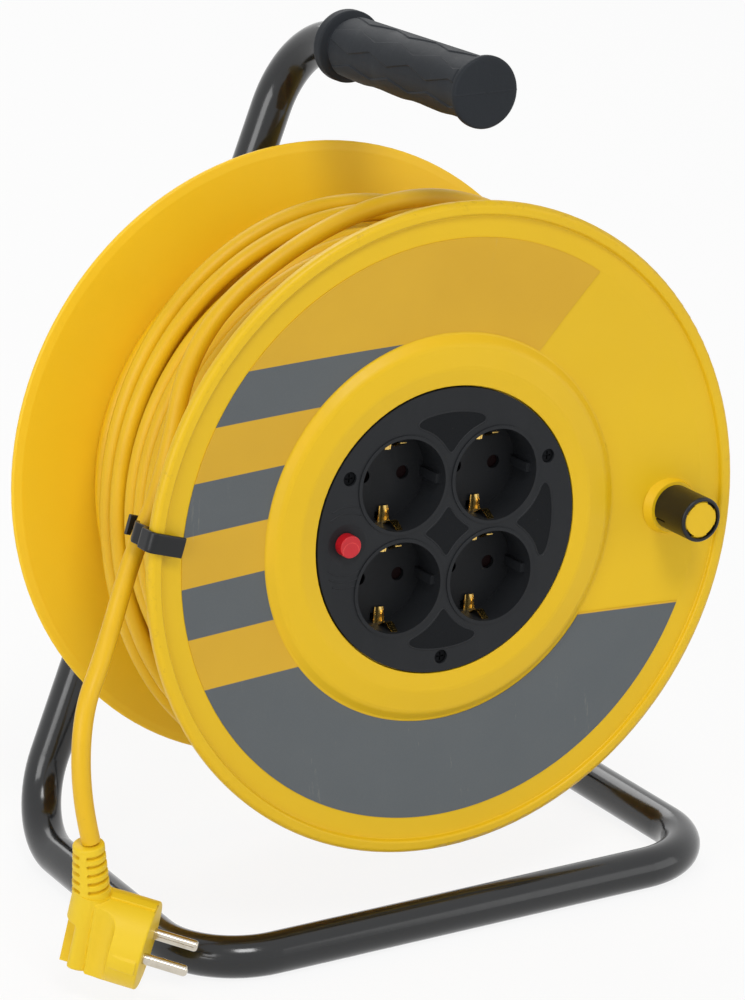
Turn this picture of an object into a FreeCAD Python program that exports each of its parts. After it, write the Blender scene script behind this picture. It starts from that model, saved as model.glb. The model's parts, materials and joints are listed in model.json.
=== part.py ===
import FreeCAD, Part
import os
from math import acos, cos, degrees, pi, radians, sin, sqrt, tan

# Extension cord reel: a drum with four sockets turns on a bent tube stand.
# Lengths are millimetres and angles are degrees. The model is drawn about the drum's axle:
# X to the right, Y to the rear, Z up, and Y = 0 at the front rim of the front flange.
# At the end every piece is moved so that the origin lies on the floor, under the middle.

V = FreeCAD.Vector
AXLE_LINE = V(0, 1, 0)
HAIR = 0.05

# Stand, bent from one steel tube
TUBE_RADIUS = 9.0
TUBE_WALL = 1.5
TUBE_BEND = 36.0
AXLE_HEIGHT = 176.0
HANDLE_X = 11.8
HANDLE_Z = 187.2
HANDLE_FRONT_Y = 3.2
UPRIGHT_Y = 159.9
UPRIGHT_FOOT_X = -127.8
FRONT_RAIL_Y = -12.0
RIGHT_RAIL_X = 131.0
STRUT_STOP = 22.0

# Grip on the handle end of the tube
GRIP_RADIUS = 13.3
GRIP_END_Y = 118.0
GRIP_CAP_RADIUS = 15.2
GRIP_CAP_LENGTH = 2.8
GRIP_CAP_WALL = 3.0
GRIP_COLLAR_RADIUS = 15.8
GRIP_COLLAR_LENGTH = 6.0
GRIP_GROOVE = 1.2

# Front flange
FLANGE_RADIUS = 142.5
BEAD_WIDTH = 6.0
BEAD_ROUND = 2.4
WEB_WALL = 3.0
WEB_RIM_Y = 2.2
WEB_RIM_WIDTH = 9.1
WEB_OUTER_Y = 2.7
WEB_INNER_RADIUS = 85.0
WEB_INNER_Y = 9.3
WEB_ROUND = 4.0
CROWN_RADIUS = 71.0
CROWN_Y = 4.5
CROWN_ROUND = 6.0
CROWN_SHOULDER_RADIUS = 81.0
CROWN_SHOULDER_Y = 6.0
CROWN_SHOULDER_ROUND = 5.0

# Rear flange and its hub
REAR_RADIUS = 143.0
REAR_RIM_Y = 132.8
REAR_FLAT_RADIUS = 105.0
REAR_FLAT_ROUND = 12.0
REAR_WEB_Y = 130.0
REAR_DISH = 1.8
HUB_RADIUS = 17.0
HUB_FRONT_Y = 67.2
HUB_BACK_Y = 142.0
HUB_RIBS = 6
HUB_RIB_WALL = 2.5
HUB_RIB_DEPTH = 18.0

# Barrel between the flanges
BARREL_RADIUS = 80.0
BARREL_WALL = 3.0
SPIGOT_WALL = 2.3
SPIGOT_LENGTH = 5.0
SPIGOT_GAP = 0.2
TIE_COUNT = 4
TIE_CIRCLE_RADIUS = 67.5
TIE_RADIUS = 5.5
TIE_SCREW_RADIUS = 2.0
TIE_SCREW_DEPTH = 20.0
TIE_HEAD_RADIUS = 4.0
TIE_HEAD_HEIGHT = 2.5

# Axle and what holds it
AXLE_RADIUS = 10.0
AXLE_FRONT_Y = 60.0
AXLE_SHOULDER_RADIUS = 14.0
AXLE_SHOULDER_GAP = 0.5
BUSH_WALL = 2.95
BUSH_RUN = 0.05
PLATE_FRONT_Y = 147.0
PLATE_THICKNESS = 5.0
PLATE_LENGTH = 74.0
PLATE_WIDTH = 44.0
PLATE_CORNER = 8.0
BOLT_RADIUS = 5.0
BOLT_DEPTH = 26.0
BOLT_HEAD_WIDTH = 16.0
BOLT_HEAD_HEIGHT = 6.4
BOLT_HOLE_GAP = 0.3
WASHER_RADIUS = 10.0
WASHER_THICKNESS = 2.0
THRUST_RADIUS = 15.0
THRUST_THICKNESS = 1.8
RING_RADIUS = 13.5
RING_THICKNESS = 1.5
RING_GROOVE = 0.6

# Winding knob on the front flange
KNOB_INSET = 29.0
KNOB_Z = -5.6
KNOB_COLLAR_RADIUS = 11.4
KNOB_FLARE_RADIUS = 13.4
KNOB_COLLAR_FRONT_Y = 2.6
KNOB_RADIUS = 10.0
KNOB_FRONT_Y = -18.9
KNOB_END_GAP = 0.2
KNOB_POST_RADIUS = 7.33
KNOB_RUN = 0.07
KNOB_LIP_RADIUS = 8.4
KNOB_LIP_LENGTH = 1.8
KNOB_LIP_RECESS = 0.6
KNOB_LIP_CHAMFER = 0.7
KNOB_SHOULDER_DEPTH = 2.5
KNOB_NOTCH_WIDTH = 5.2
KNOB_NOTCH_DEPTH = 3.0
KNOB_CORE_RADIUS = 7.4
KNOB_SLIT_WIDTH = 0.8
KNOB_SLIT_LENGTH = 7.0
KNOB_SLIT_ANGLE = 200.0
KNOB_EDGE = 1.0

# Socket plate in the middle of the front flange, drawn upright and then turned
SOCKET_TURN = 2.2
SOCKET_RADIUS = 62.5
SOCKET_GAP = 0.7
SOCKET_FACE_Y = 5.3
SOCKET_WALL = 3.0
SOCKET_LEDGE = 4.5
WELL_OFFSET_X = 22.5
WELL_RADIUS = 20.1
WELL_DEPTH = 17.5
WELL_WALL = 1.5
WELL_FLOOR = 2.0
WELL_RIM_HEIGHT = 0.5
PIN_OFFSET_X = 9.5
PIN_HOLE_RADIUS = 3.0
KEY_WIDTH = 4.0
KEY_DEPTH = 2.2
KEY_BACK = 4.0
CLIP_SLOT_WIDTH = 6.4
CLIP_SLOT_DEPTH = 4.1
SCREW_CIRCLE_RADIUS = 56.0
SCREW_ANGLES = (30.0, 150.0, 270.0)
SCREW_HEAD_RADIUS = 2.9
SCREW_HEAD_HEIGHT = 1.2
SCREW_RADIUS = 1.5
SCREW_LENGTH = 12.0
SCREW_SINK = 2.3
SCREW_SINK_GAP = 0.2
DRIVE_LENGTH = 1.8
DRIVE_WIDTH = 0.35
SCREW_BOSS_RADIUS = 4.2
SCREW_BOSS_LENGTH = 14.0
POST_RADIUS = 4.0
POST_PLACES = ((0.0, 0.0), (0.0, 49.0), (49.0, 0.0), (4.0, -45.0))

# Shutters behind the pin holes
SHUTTER_RADIUS = 14.0
SHUTTER_THICKNESS = 1.5
SHUTTER_GAP = 0.3
SHUTTER_PIVOT_RADIUS = 2.0
SHUTTER_RUN = 0.06
SHUTTER_TURN = 40.0

# Contact carrier, bars and clips
CARRIER_Y = 27.4
CARRIER_THICKNESS = 2.5
CARRIER_RADIUS = 56.0
TULIP_FRONT_GAP = 0.6
TULIP_LENGTH = 12.0
TULIP_RADIUS = 3.6
PIN_RADIUS = 2.4
PIN_LENGTH = 19.0
PIN_TIP_ROUND = 1.7
TULIP_GRIP_GAP = 0.1
BAR_THICKNESS = 1.5
BAR_WIDTH = 7.0
BAR_JOIN_Z = 33.0
EARTH_BAR_STEP = 4.0
STRIP_WIDTH = 5.0
STRIP_THICKNESS = 0.8
STRIP_ROOM = 1.4
STRIP_BACK_RHO = 19.2
STRIP_ARCH_RHO = 15.5
STRIP_ARCH_Y = 16.0
STRIP_TIP_RHO = 19.0
STRIP_TIP_Y = 9.0
BAR_SCREW_RADIUS = 1.6
BAR_SCREW_HEAD = 3.2
BAR_SCREW_DEPTH = 8.0

# Cut-out breaker and its reset button
BUTTON_X = -48.7
BUTTON_Z = -0.4
BUTTON_RADIUS = 4.85
BUTTON_SLIDE_GAP = 0.1
BUTTON_FACE_Y = 1.5
BUTTON_EDGE = 0.5
BUTTON_TRAVEL = 3.0
BUTTON_COLLAR_RADIUS = 6.2
BUTTON_COLLAR_THICKNESS = 1.2
BUTTON_STEM_RADIUS = 2.5
BUTTON_STEM_LENGTH = 9.0
BUTTON_DISH_RADIUS = 9.0
BUTTON_DISH_DEPTH = 1.3
BREAKER_NECK_RADIUS = 8.0
BREAKER_Y = 13.2
BREAKER_WIDTH = 12.0
BREAKER_HEIGHT = 14.0
BREAKER_LENGTH = 25.0

# Cord clip on the rim
CLIP_ANGLE = 173.0
CLIP_WIDTH = 8.5
CLIP_WALL = 2.2
CLIP_FRONT_REACH = 13.5
CLIP_BOTTOM_RADIUS = 125.5
CLIP_JAW_FRONT_Y = 15.0
CLIP_JAW_FRONT_RADIUS = 138.0
CLIP_JAW_BACK_Y = 29.4
CLIP_JAW_BACK_RADIUS = 139.5

# Label on the front flange
LABEL_INNER_RADIUS = 87.0
LABEL_MARGIN = 0.4
LABEL_THICKNESS = 0.3
LABEL_START = 57.0
LABEL_SWEEP = 280.0

# Cord
CORD_RADIUS = 4.0
CORD_SKIN_GAP = 0.35
BAND_TURN_RADIUS = 111.5
REAR_TURN_RADIUS = 104.5
TURN_PITCH = 8.6
REAR_FIRST_Y = 125.4
REAR_TURNS = 2.75
BAND_FIRST_TURN = 5.25
BAND_LAST_TURN = 12.75
BAND_FIRST_Y = 80.05
CORE_STEP_FRONT_Y = 90.0
CORE_STEP_BACK_Y = 98.0
CORE_END_GAP = 0.4
LEAD_Y = 75.0
LEAD_BEND = 20.0
LEAD_END_X = 6.0
LEAD_END_Y = 56.0
GLAND_RADIUS = 7.0
GLAND_HEAD_RADIUS = 10.0
GLAND_HEAD = 3.0

# Loose turns and the last turn over the band: turn count, radius and place along the axle
LOOSE_TURNS = (
    (3.0, 109.0, 99.8), (3.25, 122.5, 97.4), (3.5, 114.5, 95.3), (3.75, 136.0, 93.2),
    (4.0, 121.0, 91.0), (4.25, 119.5, 88.8), (4.5, 114.0, 86.6), (4.75, 131.0, 84.4),
    (5.0, 116.0, 82.2),
)
LAST_TURN = (
    (13.0, 114.6, 13.7), (13.25, 118.8, 13.6), (13.5, 120.4, 17.0), (13.625, 120.4, 23.5),
    (13.75, 120.4, 32.8), (13.875, 120.4, 45.3),
)

# Free cord: angle about the axle, radius and place along the axle, while it lies on the drum
DRUM_ROUTE = (
    (0.0, 120.4, 58.0), (13.1, 123.6, 61.8), (38.0, 128.5, 69.5), (63.0, 132.6, 66.5),
    (88.0, 133.6, 53.5), (113.0, 133.2, 45.0), (138.0, 132.3, 38.2),
)
WOUND_TURNS = 14

# Free cord after the drum: X, Y and Z about the axle, through the clip and down to the plug
HANGING_ROUTE = (
    (-125.0, 25.4, 40.0), (-140.0, 19.5, -3.5), (-157.5, 13.0, -34.0),
    (-172.5, 3.0, -57.0),
)

# Angled plug, by the middle of its face, the way its pins point and its upward side
PLUG_FACE = (-150.8, -12.9, -150.7)
PLUG_PIN_WAY = (0.757, -0.609, -0.237)
PLUG_UP_WAY = (0.094, -0.257, 0.962)
PLUG_RADIUS = 18.75
PLUG_STRAIGHT = 20.0
PLUG_DEPTH = 36.0
PLUG_BACK_RADIUS = 9.0
PLUG_CABLE_DEPTH = 18.0
PLUG_CABLE_LEAN = 20.0
PLUG_NECK_LENGTH = 20.6
PLUG_NECK_FOOT = 13.5
PLUG_NECK_RADIUS = 9.5
PLUG_FIN_LENGTH = 3.0
PLUG_FIN_WIDTH = 5.0
PLUG_FIN_HEIGHT = 24.0
PLUG_FIN_EDGE = 1.5
PLUG_KEY_LENGTH = 17.0
PLUG_KEY_WIDTH = 5.0
PLUG_KEY_DEPTH = 1.9
RELIEF_LENGTH = 23.0
RELIEF_LEAD_IN = 24.0
RELIEF_BASE_RADIUS = 7.75
RELIEF_TOP_RADIUS = 6.5
RELIEF_SLOTS = 5
RELIEF_SLOT_WIDTH = 1.6
RELIEF_SLOT_FIRST = 3.0
RELIEF_SLOT_PITCH = 3.9
RELIEF_SLOT_FLOOR = 0.3
EARTH_PAD_WIDTH = 6.0
EARTH_PAD_LENGTH = 15.0
EARTH_PAD_THICKNESS = 1.0
EARTH_PAD_SINK = 0.3

pieces = {}


def keep(name, *solids):
    """Store the solids of one sub-part under its name."""
    pieces[name] = solids[0] if len(solids) == 1 else Part.makeCompound(list(solids))


def rod(radius, front, back, x=0.0, z=0.0):
    """Cylinder along the axle line between two places, at x and z."""
    return Part.makeCylinder(radius, back - front, V(x, front, z), AXLE_LINE)


def block(x_low, x_high, y_low, y_high, z_low, z_high):
    """Box between two values on each axis."""
    size = (x_high - x_low, y_high - y_low, z_high - z_low)
    return Part.makeBox(*size, V(x_low, y_low, z_low))


def spun(shape, angle):
    """Copy of a shape turned anticlockwise about the axle, as seen from the front."""
    copy = shape.copy()
    copy.rotate(V(0, 0, 0), AXLE_LINE, -angle)
    return copy


def polar(radius, angle):
    """X and Z of a point at a radius and an angle about the axle."""
    return radius * cos(radians(angle)), radius * sin(radians(angle))


def outline(corners, place):
    """Closed wire through corners (u, v, rounding), set in space by place(u, v)."""
    points = [place(corner[0], corner[1]) for corner in corners]
    count = len(points)
    ends = []
    for index, corner in enumerate(corners):
        before = (points[index - 1] - points[index]).normalize()
        after = (points[(index + 1) % count] - points[index]).normalize()
        radius = corner[2] if len(corner) > 2 else 0.0
        if radius == 0.0:
            ends.append((points[index],))
            continue
        half = acos(max(-1.0, min(1.0, before.dot(after)))) / 2
        start = points[index] + before * (radius / tan(half))
        finish = points[index] + after * (radius / tan(half))
        inward = (before + after).normalize()
        middle = points[index] + inward * (radius / sin(half) - radius)
        ends.append((start, middle, finish))
    edges = []
    for index, arc in enumerate(ends):
        if len(arc) == 3:
            edges.append(Part.Arc(*arc).toShape())
        following = ends[(index + 1) % count][0]
        if (following - arc[-1]).Length > 1e-6:
            edges.append(Part.LineSegment(arc[-1], following).toShape())
    return Part.Wire(edges)


def front_rim(shape):
    """Closed edges that lie on a shape's front face."""
    front_y = min(edge.CenterOfMass.y for edge in shape.Edges)
    return [edge for edge in shape.Edges if edge.Closed and edge.CenterOfMass.y < front_y + 0.01]


def turned(corners, sweep=360.0):
    """Solid turned about the axle from corners (radius, y, rounding)."""
    wire = outline(corners, lambda radius, y: V(radius, y, 0))
    return Part.Face(wire).revolve(V(0, 0, 0), AXLE_LINE, sweep)


def swept(edges, radius):
    """Round bar along a path of tangent edges."""
    first = edges[0]
    start = first.valueAt(first.FirstParameter)
    way = first.tangentAt(first.FirstParameter)
    section = Part.Wire(Part.Circle(start, way, radius).toShape())
    return Part.Wire(edges).makePipeShell([section], True, False)


def bent_path(points, radii):
    """Straight runs joined by tangent arcs, one radius for each inner point."""
    edges = []
    last = points[0]
    for index, radius in enumerate(radii, 1):
        back = (points[index - 1] - points[index]).normalize()
        ahead = (points[index + 1] - points[index]).normalize()
        half = acos(max(-1.0, min(1.0, back.dot(ahead)))) / 2
        start = points[index] + back * (radius / tan(half))
        finish = points[index] + ahead * (radius / tan(half))
        middle = points[index] + (back + ahead).normalize() * (radius / sin(half) - radius)
        edges.append(Part.LineSegment(last, start).toShape())
        edges.append(Part.Arc(start, middle, finish).toShape())
        last = finish
    edges.append(Part.LineSegment(last, points[-1]).toShape())
    return edges


def check_tube(name, solid, edges, radius):
    """Print a tube's volume beside its section times its length."""
    length = sum(edge.Length for edge in edges)
    expected = pi * radius ** 2 * length
    print(f"{name}: length {length:.1f} mm, volume {solid.Volume:.0f} of {expected:.0f} mm3")


def web_front_y(radius):
    """Front face of the front flange's sloping web at a radius."""
    share = (radius - WEB_INNER_RADIUS) / (WEB_OUTER_RADIUS - WEB_INNER_RADIUS)
    return WEB_INNER_Y + share * (WEB_OUTER_Y - WEB_INNER_Y)


# Places that several pieces share
SEAT_Y = SOCKET_FACE_Y + SOCKET_WALL
WEB_OUTER_RADIUS = FLANGE_RADIUS - BEAD_WIDTH - WEB_RIM_WIDTH
LABEL_OUTER_RADIUS = WEB_OUTER_RADIUS - LABEL_MARGIN
KNOB_X = FLANGE_RADIUS - KNOB_INSET
CLIP_FRONT_RADIUS = FLANGE_RADIUS - CLIP_FRONT_REACH
FLANGE_BACK_Y = WEB_INNER_Y + WEB_WALL
BARREL_BORE = BARREL_RADIUS - BARREL_WALL
SPIGOT_RADIUS = BARREL_BORE - SPIGOT_GAP
SPIGOT_BORE = SPIGOT_RADIUS - SPIGOT_WALL
SOCKET_HOLE = SOCKET_RADIUS + SOCKET_GAP
WELL_FLOOR_Y = SOCKET_FACE_Y + WELL_DEPTH
WELL_BACK_Y = WELL_FLOOR_Y + WELL_FLOOR
TIE_ANGLES = [45.0 + 360.0 / TIE_COUNT * step for step in range(TIE_COUNT)]
WELL_SIDES = (-WELL_OFFSET_X, WELL_OFFSET_X)
WELL_CENTRES = [(x, z) for z in reversed(WELL_SIDES) for x in WELL_SIDES]
CARRIER_BACK_Y = CARRIER_Y + CARRIER_THICKNESS
TULIP_FRONT_Y = CARRIER_BACK_Y + TULIP_FRONT_GAP
BAR_Y = TULIP_FRONT_Y + TULIP_LENGTH
EARTH_BAR_Y = BAR_Y + EARTH_BAR_STEP
BUSH_RADIUS = AXLE_RADIUS + BUSH_RUN + BUSH_WALL
TUBE_FRONT_Y = UPRIGHT_Y - TUBE_RADIUS
TUBE_BACK_Y = UPRIGHT_Y + TUBE_RADIUS


def stand_points():
    """Corners of the stand's tube, from the handle round the floor to the strut."""
    floor_z = TUBE_RADIUS - AXLE_HEIGHT
    upright = V(UPRIGHT_FOOT_X - HANDLE_X, 0, floor_z - HANDLE_Z)
    strut = V(-RIGHT_RAIL_X, 0, -floor_z).normalize()
    rise = strut.z / strut.x
    share = (rise * HANDLE_X - HANDLE_Z) / (upright.z - rise * upright.x)
    joint = V(HANDLE_X, UPRIGHT_Y, HANDLE_Z) + upright * share
    corners = [
        V(HANDLE_X, HANDLE_FRONT_Y, HANDLE_Z),
        V(HANDLE_X, UPRIGHT_Y, HANDLE_Z),
        V(UPRIGHT_FOOT_X, UPRIGHT_Y, floor_z),
        V(UPRIGHT_FOOT_X, FRONT_RAIL_Y, floor_z),
        V(RIGHT_RAIL_X, FRONT_RAIL_Y, floor_z),
        V(RIGHT_RAIL_X, UPRIGHT_Y, floor_z),
        joint - strut * STRUT_STOP,
    ]
    return corners, joint, strut


def make_stand():
    """Bent tube with its welded strut, bored hollow and drilled for the axle bolt."""
    corners, joint, strut = stand_points()
    path = bent_path(corners, [TUBE_BEND] * (len(corners) - 2))
    bore = TUBE_RADIUS - TUBE_WALL
    stub = Part.makeCylinder(TUBE_RADIUS, STRUT_STOP, corners[-1], strut)
    tube = swept(path, TUBE_RADIUS).fuse(stub).cut(swept(path, bore))
    upright = corners[2] - corners[1]
    length = upright.Length - 3 * TUBE_BEND
    upright.normalize()
    clear = Part.makeCylinder(bore, length, corners[1] + upright * 1.5 * TUBE_BEND, upright)
    hole = rod(BOLT_RADIUS + BOLT_HOLE_GAP, TUBE_FRONT_Y - 1, TUBE_BACK_Y + 1)
    tube = tube.cut(clear).cut(hole)
    keep("frame_tube", tube)
    solid_tube = swept(path, TUBE_RADIUS).fuse(stub)
    return solid_tube, strut


def make_grip():
    """Rubber grip with a closed front cap and a rear collar."""
    def place(radius, y):
        return V(HANDLE_X + radius, y, HANDLE_Z)
    cap_y = HANDLE_FRONT_Y - GRIP_CAP_WALL
    collar_y = GRIP_END_Y - GRIP_COLLAR_LENGTH
    corners = [
        (0, cap_y), (GRIP_CAP_RADIUS, cap_y, 1.6), (GRIP_CAP_RADIUS, cap_y + GRIP_CAP_LENGTH, 1.2),
        (GRIP_RADIUS, cap_y + GRIP_CAP_LENGTH + 2, 1.0), (GRIP_RADIUS, collar_y - 3, 1.0),
        (GRIP_RADIUS - GRIP_GROOVE, collar_y - 2, 0.5), (GRIP_RADIUS - GRIP_GROOVE, collar_y - 1, 0.3),
        (GRIP_COLLAR_RADIUS, collar_y, 1.0), (GRIP_COLLAR_RADIUS, GRIP_END_Y, 1.5),
        (TUBE_RADIUS, GRIP_END_Y), (TUBE_RADIUS, HANDLE_FRONT_Y), (0, HANDLE_FRONT_Y),
    ]
    face = Part.Face(outline(corners, place))
    keep("handle_grip", face.revolve(V(HANDLE_X, 0, HANDLE_Z), AXLE_LINE, 360))


def make_axle(solid_tube, strut):
    """Axle, its plate welded on the tube, its bolt and the rings that hold the drum."""
    shoulder_y = HUB_BACK_Y + AXLE_SHOULDER_GAP
    ring_back_y = HUB_FRONT_Y - HAIR - THRUST_THICKNESS - HAIR
    ring_front_y = ring_back_y - RING_THICKNESS
    axle = rod(AXLE_RADIUS, AXLE_FRONT_Y, PLATE_FRONT_Y)
    axle = axle.fuse(rod(AXLE_SHOULDER_RADIUS, shoulder_y, PLATE_FRONT_Y))
    thread = rod(BOLT_RADIUS, PLATE_FRONT_Y - BOLT_DEPTH, PLATE_FRONT_Y + 1)
    groove = rod(AXLE_RADIUS + 1, ring_front_y, ring_back_y)
    groove = groove.cut(rod(AXLE_RADIUS - RING_GROOVE, ring_front_y, ring_back_y))
    keep("axle", axle.cut(thread).cut(groove))
    ring = rod(RING_RADIUS, ring_front_y, ring_back_y)
    ring = ring.cut(rod(AXLE_RADIUS - RING_GROOVE, ring_front_y - 1, ring_back_y + 1))
    mouth_half = AXLE_RADIUS / 2
    mouth = block(-mouth_half, mouth_half, ring_front_y - 1, ring_back_y + 1, 0, RING_RADIUS + 1)
    keep("retaining_ring", ring.cut(mouth))
    thrust = rod(THRUST_RADIUS, ring_back_y + HAIR, HUB_FRONT_Y - HAIR)
    thrust = thrust.cut(rod(AXLE_RADIUS + BUSH_RUN, ring_back_y, HUB_FRONT_Y))
    keep("thrust_washer", thrust)
    plate_back_y = PLATE_FRONT_Y + PLATE_THICKNESS
    plate_x = PLATE_LENGTH / 2
    plate_z = PLATE_WIDTH / 2
    plate = block(-plate_x, plate_x, PLATE_FRONT_Y, plate_back_y, -plate_z, plate_z)
    upright_edges = [edge for edge in plate.Edges if abs(edge.tangentAt(0).y) > 0.9]
    plate = plate.makeFillet(PLATE_CORNER, upright_edges)
    plate = spun(plate, degrees(acos(strut.x)))
    hole = rod(BOLT_RADIUS + BOLT_HOLE_GAP, PLATE_FRONT_Y - 1, plate_back_y + 1)
    keep("hub_plate", plate.cut(hole).cut(solid_tube))
    washer_back_y = TUBE_BACK_Y + WASHER_THICKNESS
    washer = rod(WASHER_RADIUS, TUBE_BACK_Y - 1, washer_back_y).cut(solid_tube)
    washer_hole = rod(BOLT_RADIUS + BOLT_HOLE_GAP, TUBE_BACK_Y - 2, washer_back_y + 1)
    keep("axle_washer", washer.cut(washer_hole))
    shank = rod(BOLT_RADIUS, PLATE_FRONT_Y - BOLT_DEPTH + 2, washer_back_y)
    corner = BOLT_HEAD_WIDTH / sqrt(3)
    hexagon = [V(corner * cos(pi / 3 * k), washer_back_y, corner * sin(pi / 3 * k)) for k in range(7)]
    head = Part.Face(Part.makePolygon(hexagon)).extrude(V(0, BOLT_HEAD_HEIGHT, 0))
    keep("axle_bolt", shank.fuse(head).removeSplitter())


def make_front_flange():
    """Front flange with its web, crown, ledge, tie columns, screw bosses and knob post."""
    bead_inner = FLANGE_RADIUS - BEAD_WIDTH
    ledge_bore = SOCKET_HOLE - SOCKET_LEDGE
    ledge_back_y = SEAT_Y + WEB_WALL
    corners = [
        (SOCKET_HOLE, SOCKET_FACE_Y + 0.3, 0.4), (CROWN_RADIUS, CROWN_Y, CROWN_ROUND),
        (CROWN_SHOULDER_RADIUS, CROWN_SHOULDER_Y, CROWN_SHOULDER_ROUND),
        (WEB_INNER_RADIUS, WEB_INNER_Y, 1.5), (WEB_OUTER_RADIUS, WEB_OUTER_Y, WEB_ROUND),
        (bead_inner, WEB_RIM_Y, 0.6),
        (bead_inner + 0.6, 0, BEAD_ROUND / 2), (FLANGE_RADIUS, 0, BEAD_ROUND),
        (FLANGE_RADIUS, BEAD_WIDTH, BEAD_ROUND), (bead_inner, BEAD_WIDTH, 0.3),
        (bead_inner, WEB_RIM_Y + WEB_WALL), (WEB_OUTER_RADIUS, WEB_OUTER_Y + WEB_WALL, WEB_ROUND),
        (WEB_INNER_RADIUS, FLANGE_BACK_Y), (SPIGOT_RADIUS, FLANGE_BACK_Y),
        (SPIGOT_RADIUS, FLANGE_BACK_Y + SPIGOT_LENGTH), (SPIGOT_BORE, FLANGE_BACK_Y + SPIGOT_LENGTH),
        (SPIGOT_BORE, ledge_back_y), (ledge_bore, ledge_back_y), (ledge_bore, SEAT_Y),
        (SOCKET_HOLE, SEAT_Y),
    ]
    flange = turned(corners)
    drill = []
    for angle in TIE_ANGLES:
        x, z = polar(TIE_CIRCLE_RADIUS, angle)
        flange = flange.fuse(rod(TIE_RADIUS, SEAT_Y, REAR_WEB_Y, x, z))
        drill.append(rod(TIE_SCREW_RADIUS, REAR_WEB_Y - TIE_SCREW_DEPTH, REAR_WEB_Y + 1, x, z))
    for angle in SCREW_ANGLES:
        x, z = polar(SCREW_CIRCLE_RADIUS, angle - SOCKET_TURN)
        flange = flange.fuse(rod(SCREW_BOSS_RADIUS, SEAT_Y, SEAT_Y + SCREW_BOSS_LENGTH, x, z))
        drill.append(rod(SCREW_RADIUS, SEAT_Y - 1, SEAT_Y + SCREW_BOSS_LENGTH - 1, x, z))
    web_y = web_front_y(KNOB_X) + WEB_WALL / 2
    foot = V(KNOB_X, KNOB_COLLAR_FRONT_Y, KNOB_Z)
    flare = web_y - KNOB_COLLAR_FRONT_Y
    flange = flange.fuse(Part.makeCone(KNOB_COLLAR_RADIUS, KNOB_FLARE_RADIUS, flare, foot, AXLE_LINE))
    lip_front_y = KNOB_FRONT_Y + KNOB_LIP_RECESS
    lip_back_y = lip_front_y + KNOB_LIP_LENGTH
    post = rod(KNOB_POST_RADIUS, lip_front_y, web_y, KNOB_X, KNOB_Z)
    lip = rod(KNOB_LIP_RADIUS, lip_front_y, lip_back_y, KNOB_X, KNOB_Z)
    lip = lip.makeChamfer(KNOB_LIP_CHAMFER, front_rim(lip))
    flange = flange.fuse(post).fuse(lip)
    notch_back_y = lip_front_y + KNOB_NOTCH_DEPTH
    notch_x = KNOB_LIP_RADIUS + 1
    notch_z = KNOB_NOTCH_WIDTH / 2
    for turn in (45, 135):
        slot = block(-notch_x, notch_x, lip_front_y - 1, notch_back_y, -notch_z, notch_z)
        slot = spun(slot.cut(rod(KNOB_CORE_RADIUS, lip_front_y - 1, notch_back_y)), turn)
        slot.translate(V(KNOB_X, 0, KNOB_Z))
        drill.append(slot)
    for cutter in drill:
        flange = flange.cut(cutter)
    keep("front_flange", flange.removeSplitter())


def make_knob():
    """Sleeve that spins on the flange's post, snapped behind the post's lip."""
    back_y = KNOB_COLLAR_FRONT_Y - KNOB_END_GAP
    bore = KNOB_POST_RADIUS + KNOB_RUN
    shoulder_y = KNOB_FRONT_Y + KNOB_SHOULDER_DEPTH
    body = rod(KNOB_RADIUS, KNOB_FRONT_Y, back_y)
    body = body.makeFillet(KNOB_EDGE, front_rim(body))
    body = body.cut(rod(bore, KNOB_FRONT_Y - 1, back_y + 1))
    body = body.cut(rod(KNOB_LIP_RADIUS + KNOB_RUN, KNOB_FRONT_Y - 1, shoulder_y))
    slit_z = KNOB_SLIT_WIDTH / 2
    slit = block(0, KNOB_RADIUS + 1, back_y - KNOB_SLIT_LENGTH, back_y + 1, -slit_z, slit_z)
    body = body.cut(spun(slit, KNOB_SLIT_ANGLE))
    body.translate(V(KNOB_X, 0, KNOB_Z))
    keep("knob_sleeve", body)


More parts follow.
